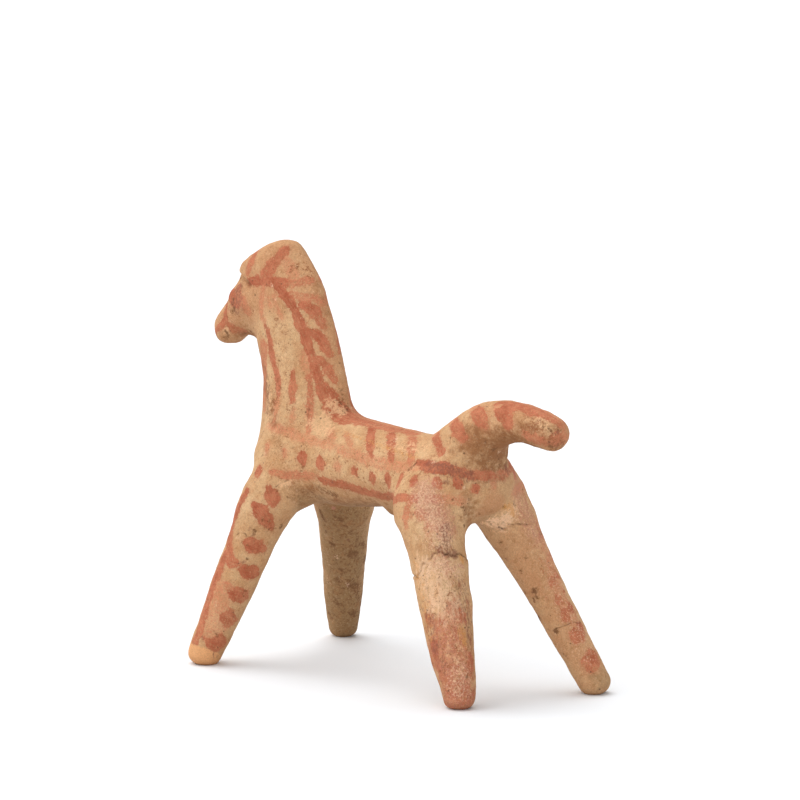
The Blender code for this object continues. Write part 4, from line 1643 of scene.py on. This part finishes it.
    def dirtied(self, bench: Bench, colour: bpy.types.Node, speck: bpy.types.Node) -> bpy.types.Node:
        """Ages the colour and paints shade: painted shade on undersides, soils, stains, grit, dirt and
        painted shade in hollows, and an uneven grain.

        Args:
            bench: what it is made from.
            colour: the colour of the clean figure.
            speck: where the grains of grit show.

        Returns:
            The colour as it is now.
        """
        add, noises, laid = bench.add, bench.noises, bench.laid
        # Painted shade: points that face down are darkened towards brown, broken up by the cloud
        patches = add("MapRange", {0: noises["cloud"], **ends(self.shade_patches)})
        shaded = add("Math", {0: laid["under"], 1: patches}, operation="MULTIPLY")
        colour = add("Mix", {0: shaded, 6: colour, 7: linear(self.underside_shade)}, data_type="RGBA")
        colour = self.soiled(bench, self.soils, colour)
        colour = self.flecked(bench, self.stains, colour)
        spotted = add("Math", {0: speck, 1: self.speck_cover}, operation="MULTIPLY")
        colour = add("Mix", {0: spotted, 6: colour, 7: linear(self.speck)}, data_type="RGBA")
        # Dirt and painted shade in cracks, creases and pits, broken up by the mottle
        broken = add("MapRange", {0: noises["mottle"], **ends(self.hollow_patches)})
        hollow_dirt_and_shade = add("Math", {0: laid["dark"], 1: broken}, operation="MULTIPLY")
        colour = add("Mix", {0: hollow_dirt_and_shade, 6: colour, 7: linear(self.hollow_dirt_and_shade)}, data_type="RGBA")
        value = add("MapRange", {0: noises["grain"], **ends(self.grains)})
        return add("HueSaturation", {"Color": colour, "Value": value})

    def slip(self, bench: Bench) -> bpy.types.Node:
        """Mixes the pale slip, brushed on thinly, so that the clay warms it in patches.

        Args:
            bench: what it is made from.

        Returns:
            Its colour.
        """
        thick = bench.add("MapRange", {0: bench.noises["cloud"], **ends(self.slip_thick)})
        slip = {0: thick, 6: linear(self.slip_dark), 7: linear(self.slip_light)}
        colour = bench.add("Mix", slip, data_type="RGBA")
        worn = bench.add("MapRange", {0: bench.noises["mottle"], **ends(self.slip_worn)})
        return bench.add("Mix", {0: worn, 6: colour, 7: linear(self.clay)}, data_type="RGBA")

    def flecked(
        self, bench: Bench, flecks: Sequence[tuple[str, float, float, str, float]], colour: bpy.types.Node
    ) -> bpy.types.Node:
        """Scatters fine dark and pale flecks, where a colour is worn through or dirt has stayed.

        Args:
            bench: what they are made from.
            flecks: noise, where it starts and is full, colour and cover of each kind.
            colour: what they lie on.

        Returns:
            The colour with them.
        """
        for name, low, high, fleck, cover in flecks:
            sockets = {0: bench.noises[name], **ends((low, high, 0.0, cover))}
            share = bench.add("MapRange", sockets, interpolation_type="SMOOTHSTEP")
            colour = bench.add("Mix", {0: share, 6: colour, 7: linear(fleck)}, data_type="RGBA")
        return colour

    def bare(self, bench: Bench) -> bpy.types.Node:
        """Finds where the slip has gone.

        Args:
            bench: what it is made from.

        Returns:
            How far it has, from 0 to 1.
        """
        sockets = {0: bench.noises["mottle"], 1: self.bare_ragged, 2: bench.laid["bare"]}
        ragged = bench.add("Math", sockets, operation="MULTIPLY_ADD")
        return bench.add("MapRange", {0: ragged, **ends(self.bare_edge)}, interpolation_type="SMOOTHSTEP")

    def paint(self, bench: Bench, bare: bpy.types.Node) -> bpy.types.Node:
        """Covers with red: a wandering edge, flaked away where little is left, streaked along the brush.

        Args:
            bench: what it is made from.
            bare: where the slip has gone, and the paint with it.

        Returns:
            How far the red covers, from 0 to 1.
        """
        add, noises, laid = bench.add, bench.noises, bench.laid
        edge = laid["paint"]
        for name, wander in zip(("mottle", "flake"), self.edge_wander):
            edge = add("Math", {0: noises[name], 1: wander, 2: edge}, operation="MULTIPLY_ADD")
        inside = add("MapRange", {0: edge, **ends(self.edge)}, interpolation_type="SMOOTHSTEP")
        worn = add("MapRange", {0: noises["flake"], **ends(self.worn)})
        left = add("Math", {0: laid["load"], 1: worn}, operation="SUBTRACT")
        kept = add("MapRange", {0: left, **ends(self.kept)}, interpolation_type="SMOOTHSTEP")
        brush = add("Attribute", attribute_name="brush").outputs["Vector"]
        combed = add("Mapping", {"Vector": brush, "Scale": self.hairs})
        strands = {"Scale": 1.0, "Detail": self.hair_detail, "Roughness": self.hair_rough}
        hairs = add("TexNoise", {"Vector": combed, **strands})
        streaks = add("MapRange", {0: hairs, **ends(self.hair_streaks)})
        loaded = add("MapRange", {0: laid["load"], **ends(self.loaded)})
        share = inside
        for other in (kept, streaks, loaded):
            share = add("Math", {0: share, 1: other}, operation="MULTIPLY")
        veil = add("MapRange", {0: edge, **ends(self.veil)}, interpolation_type="SMOOTHSTEP")
        share = add("Math", {0: share, 1: veil}, operation="MAXIMUM")
        left_on = add("Math", {0: 1.0, 1: bare}, operation="SUBTRACT")
        return add("Math", {0: share, 1: left_on}, operation="MULTIPLY")

    def iron_red(self, bench: Bench) -> bpy.types.Node:
        """Mixes the red, paler where little of it is left.

        Args:
            bench: what it is made from.

        Returns:
            Its colour.
        """
        slope, start = self.faded
        faded = bench.add("Math", {0: bench.laid["load"], 1: slope, 2: start}, operation="MULTIPLY_ADD")
        uneven = bench.add("MapRange", {0: bench.noises["mottle"], **ends(self.uneven)})
        thin = bench.add("Math", {0: faded, 1: uneven}, operation="ADD", use_clamp=True)
        return bench.add("Mix", {0: thin, 6: linear(self.red), 7: linear(self.red_thin)}, data_type="RGBA")

    def soiled(self, bench: Bench, soils: Sequence[Soil], colour: bpy.types.Node) -> bpy.types.Node:
        """Lays soft tones, in patches that break up at their edges.

        Args:
            bench: what they are made from.
            soils: the tones, from the lowest to the topmost.
            colour: what they lie on.

        Returns:
            The colour under them.
        """
        add = bench.add
        for soil in soils:
            here = bench.laid[soil.tone.value]
            drawn = bench.mm
            if soil.tall > 1:
                drawn = add("Mapping", {"Vector": bench.mm, "Scale": (1.0, 1.0, 1 / soil.tall)})
            grain = {"Scale": 1 / soil.size, "Detail": self.soil_detail, "Roughness": soil.rough}
            torn = add("TexNoise", {"Vector": drawn, **grain})
            spread = add("Math", {0: torn, 1: soil.broken, 2: here}, operation="MULTIPLY_ADD")
            low = soil.sparse + soil.broken / 2
            sockets = {0: spread, **ends((low, low + self.soil_edge, 0.0, soil.cover))}
            share = add("MapRange", sockets, interpolation_type="SMOOTHSTEP")
            inside = add("MapRange", {0: here, 2: self.soil_least})
            share = add("Math", {0: share, 1: inside}, operation="MULTIPLY")
            colour = add("Mix", {0: share, 6: colour, 7: linear(soil.colour)}, data_type="RGBA")
        return colour

    def specks(self, bench: Bench) -> bpy.types.Node:
        """Strews dark grains of grit: in a few of the cells, each grain of its own size.

        Args:
            bench: what they are made from.

        Returns:
            Where they show, from 0 to 1.
        """
        add = bench.add
        cells = add("TexVoronoi", {"Vector": bench.mm, "Scale": 1 / self.grit_spacing})
        chance = add("SeparateColor", {"Color": cells.outputs["Color"]})
        size = add("MapRange", {0: chance, **ends(self.grit_size)})
        sockets = {0: bench.noises["grain"], 1: self.grit_ragged, 2: cells.outputs["Distance"]}
        ragged = add("Math", sockets, operation="MULTIPLY_ADD")
        inside = add("Math", {0: size, 1: ragged}, operation="SUBTRACT")
        return add("MapRange", {0: inside, **ends(self.grit_edge)}, interpolation_type="SMOOTHSTEP")


@dataclass(frozen=True)
class MattPaper:
    """Uncoated white paper. It scatters light evenly, so it shows soft shadows and no shine.

    Attributes:
        colour: its cool white.
        rough: how matt it is.
        specular: how little its surface reflects.
    """

    colour: str = "F6F9FC"
    rough: float = 0.9
    specular: float = 0.1

    def make(self) -> bpy.types.Material:
        """Builds the material.

        Returns:
            The material.
        """
        paper = bpy.data.materials.new("matt_white_paper")
        paper.use_nodes = True
        shader = paper.node_tree.nodes["Principled BSDF"]
        shader.inputs["Base Color"].default_value = linear(self.colour)
        shader.inputs["Roughness"].default_value = self.rough
        shader.inputs["Specular IOR Level"].default_value = self.specular
        return paper


@dataclass(frozen=True)
class Studio:
    """A pale floor, soft studio light and the camera. Lengths are metres.

    Attributes:
        azimuth: the camera's turn round the horse, in degrees.
        elevation: how far it looks down, in degrees.
        camera_place: where it stands.
        lens: its focal length in millimetres.
        sensor: the width of its picture in millimetres.
        sight: how far it sees.
        floor_reach: half the floor's side.
        lights: name, direction it comes from, spread in degrees and strength of each soft light.
        sky: strength of the white room all round.
    """

    azimuth: float = 46.5
    elevation: float = 9.0
    camera_place: tuple[float, float, float] = (1.0709, -1.0112, 0.3120)
    lens: float = 237.93
    sensor: float = 36.0
    sight: float = 60.0
    floor_reach: float = 12.0
    lights: tuple[tuple[str, tuple[float, float, float], float, float], ...] = (
        ("key", (-0.65, -0.5, 0.85), 60.0, 1.36),
        ("overhead", (-0.3, 0.25, 1.0), 50.0, 1.4),
        ("fill", (0.6, -0.8, 0.4), 110.0, 1.05),
    )
    sky: float = 0.4

    def build(self) -> None:
        """Adds the floor, the lights, the sky and the camera."""
        self.lay_floor()
        for name, way, spread, strength in self.lights:
            bpy.ops.object.light_add(type="SUN", location=way)
            light = bpy.context.object
            light.name = name
            light.data.angle = math.radians(spread)
            light.data.energy = strength
            light.rotation_euler = Vector(way).to_track_quat("Z", "Y").to_euler()
        self.hang_sky()
        self.place_camera()

    def lay_floor(self) -> None:
        """Adds the floor."""
        bpy.ops.mesh.primitive_plane_add(size=2 * self.floor_reach, location=(0, 0, 0))
        floor = bpy.context.object
        floor.name = "floor"
        floor.data.materials.append(MattPaper().make())

    def hang_sky(self) -> None:
        """Adds the white room all round, with colours shown as they are given."""
        world = bpy.data.worlds.new("white_room")
        world.use_nodes = True
        background = world.node_tree.nodes["Background"]
        background.inputs["Color"].default_value = (1.0, 1.0, 1.0, 1.0)
        background.inputs["Strength"].default_value = self.sky
        bpy.context.scene.world = world
        bpy.context.scene.view_settings.view_transform = "Standard"

    def place_camera(self) -> None:
        """Adds the camera."""
        tilt = (math.radians(90 - self.elevation), 0.0, math.radians(self.azimuth))
        bpy.ops.object.camera_add(location=self.camera_place, rotation=tilt)
        camera = bpy.context.object
        camera.data.sensor_fit = "HORIZONTAL"
        camera.data.sensor_width = self.sensor
        camera.data.lens = self.lens
        camera.data.clip_end = self.sight
        bpy.context.scene.camera = camera


def main() -> None:
    """Builds the horse and its studio."""
    logging.basicConfig(level=logging.INFO, format="%(name)s: %(message)s")
    sections = (Head(), Neck(), Trunk(), Tail(), Forelegs(), Hindlegs())
    body = ClayBody(sections)
    piece, skin, dark = body.work()
    log.info("clay: %d points, %d faces", len(piece.data.vertices), len(piece.data.polygons))
    Brushwork(sections).lay(piece, skin, dark)
    piece.data.materials.append(PaintedTerracotta().make())
    piece.data.shade_smooth()
    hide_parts(body.node)
    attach(piece, "root")
    Studio().build()
    log.info("studio lit")


if __name__ == "__main__":
    main()
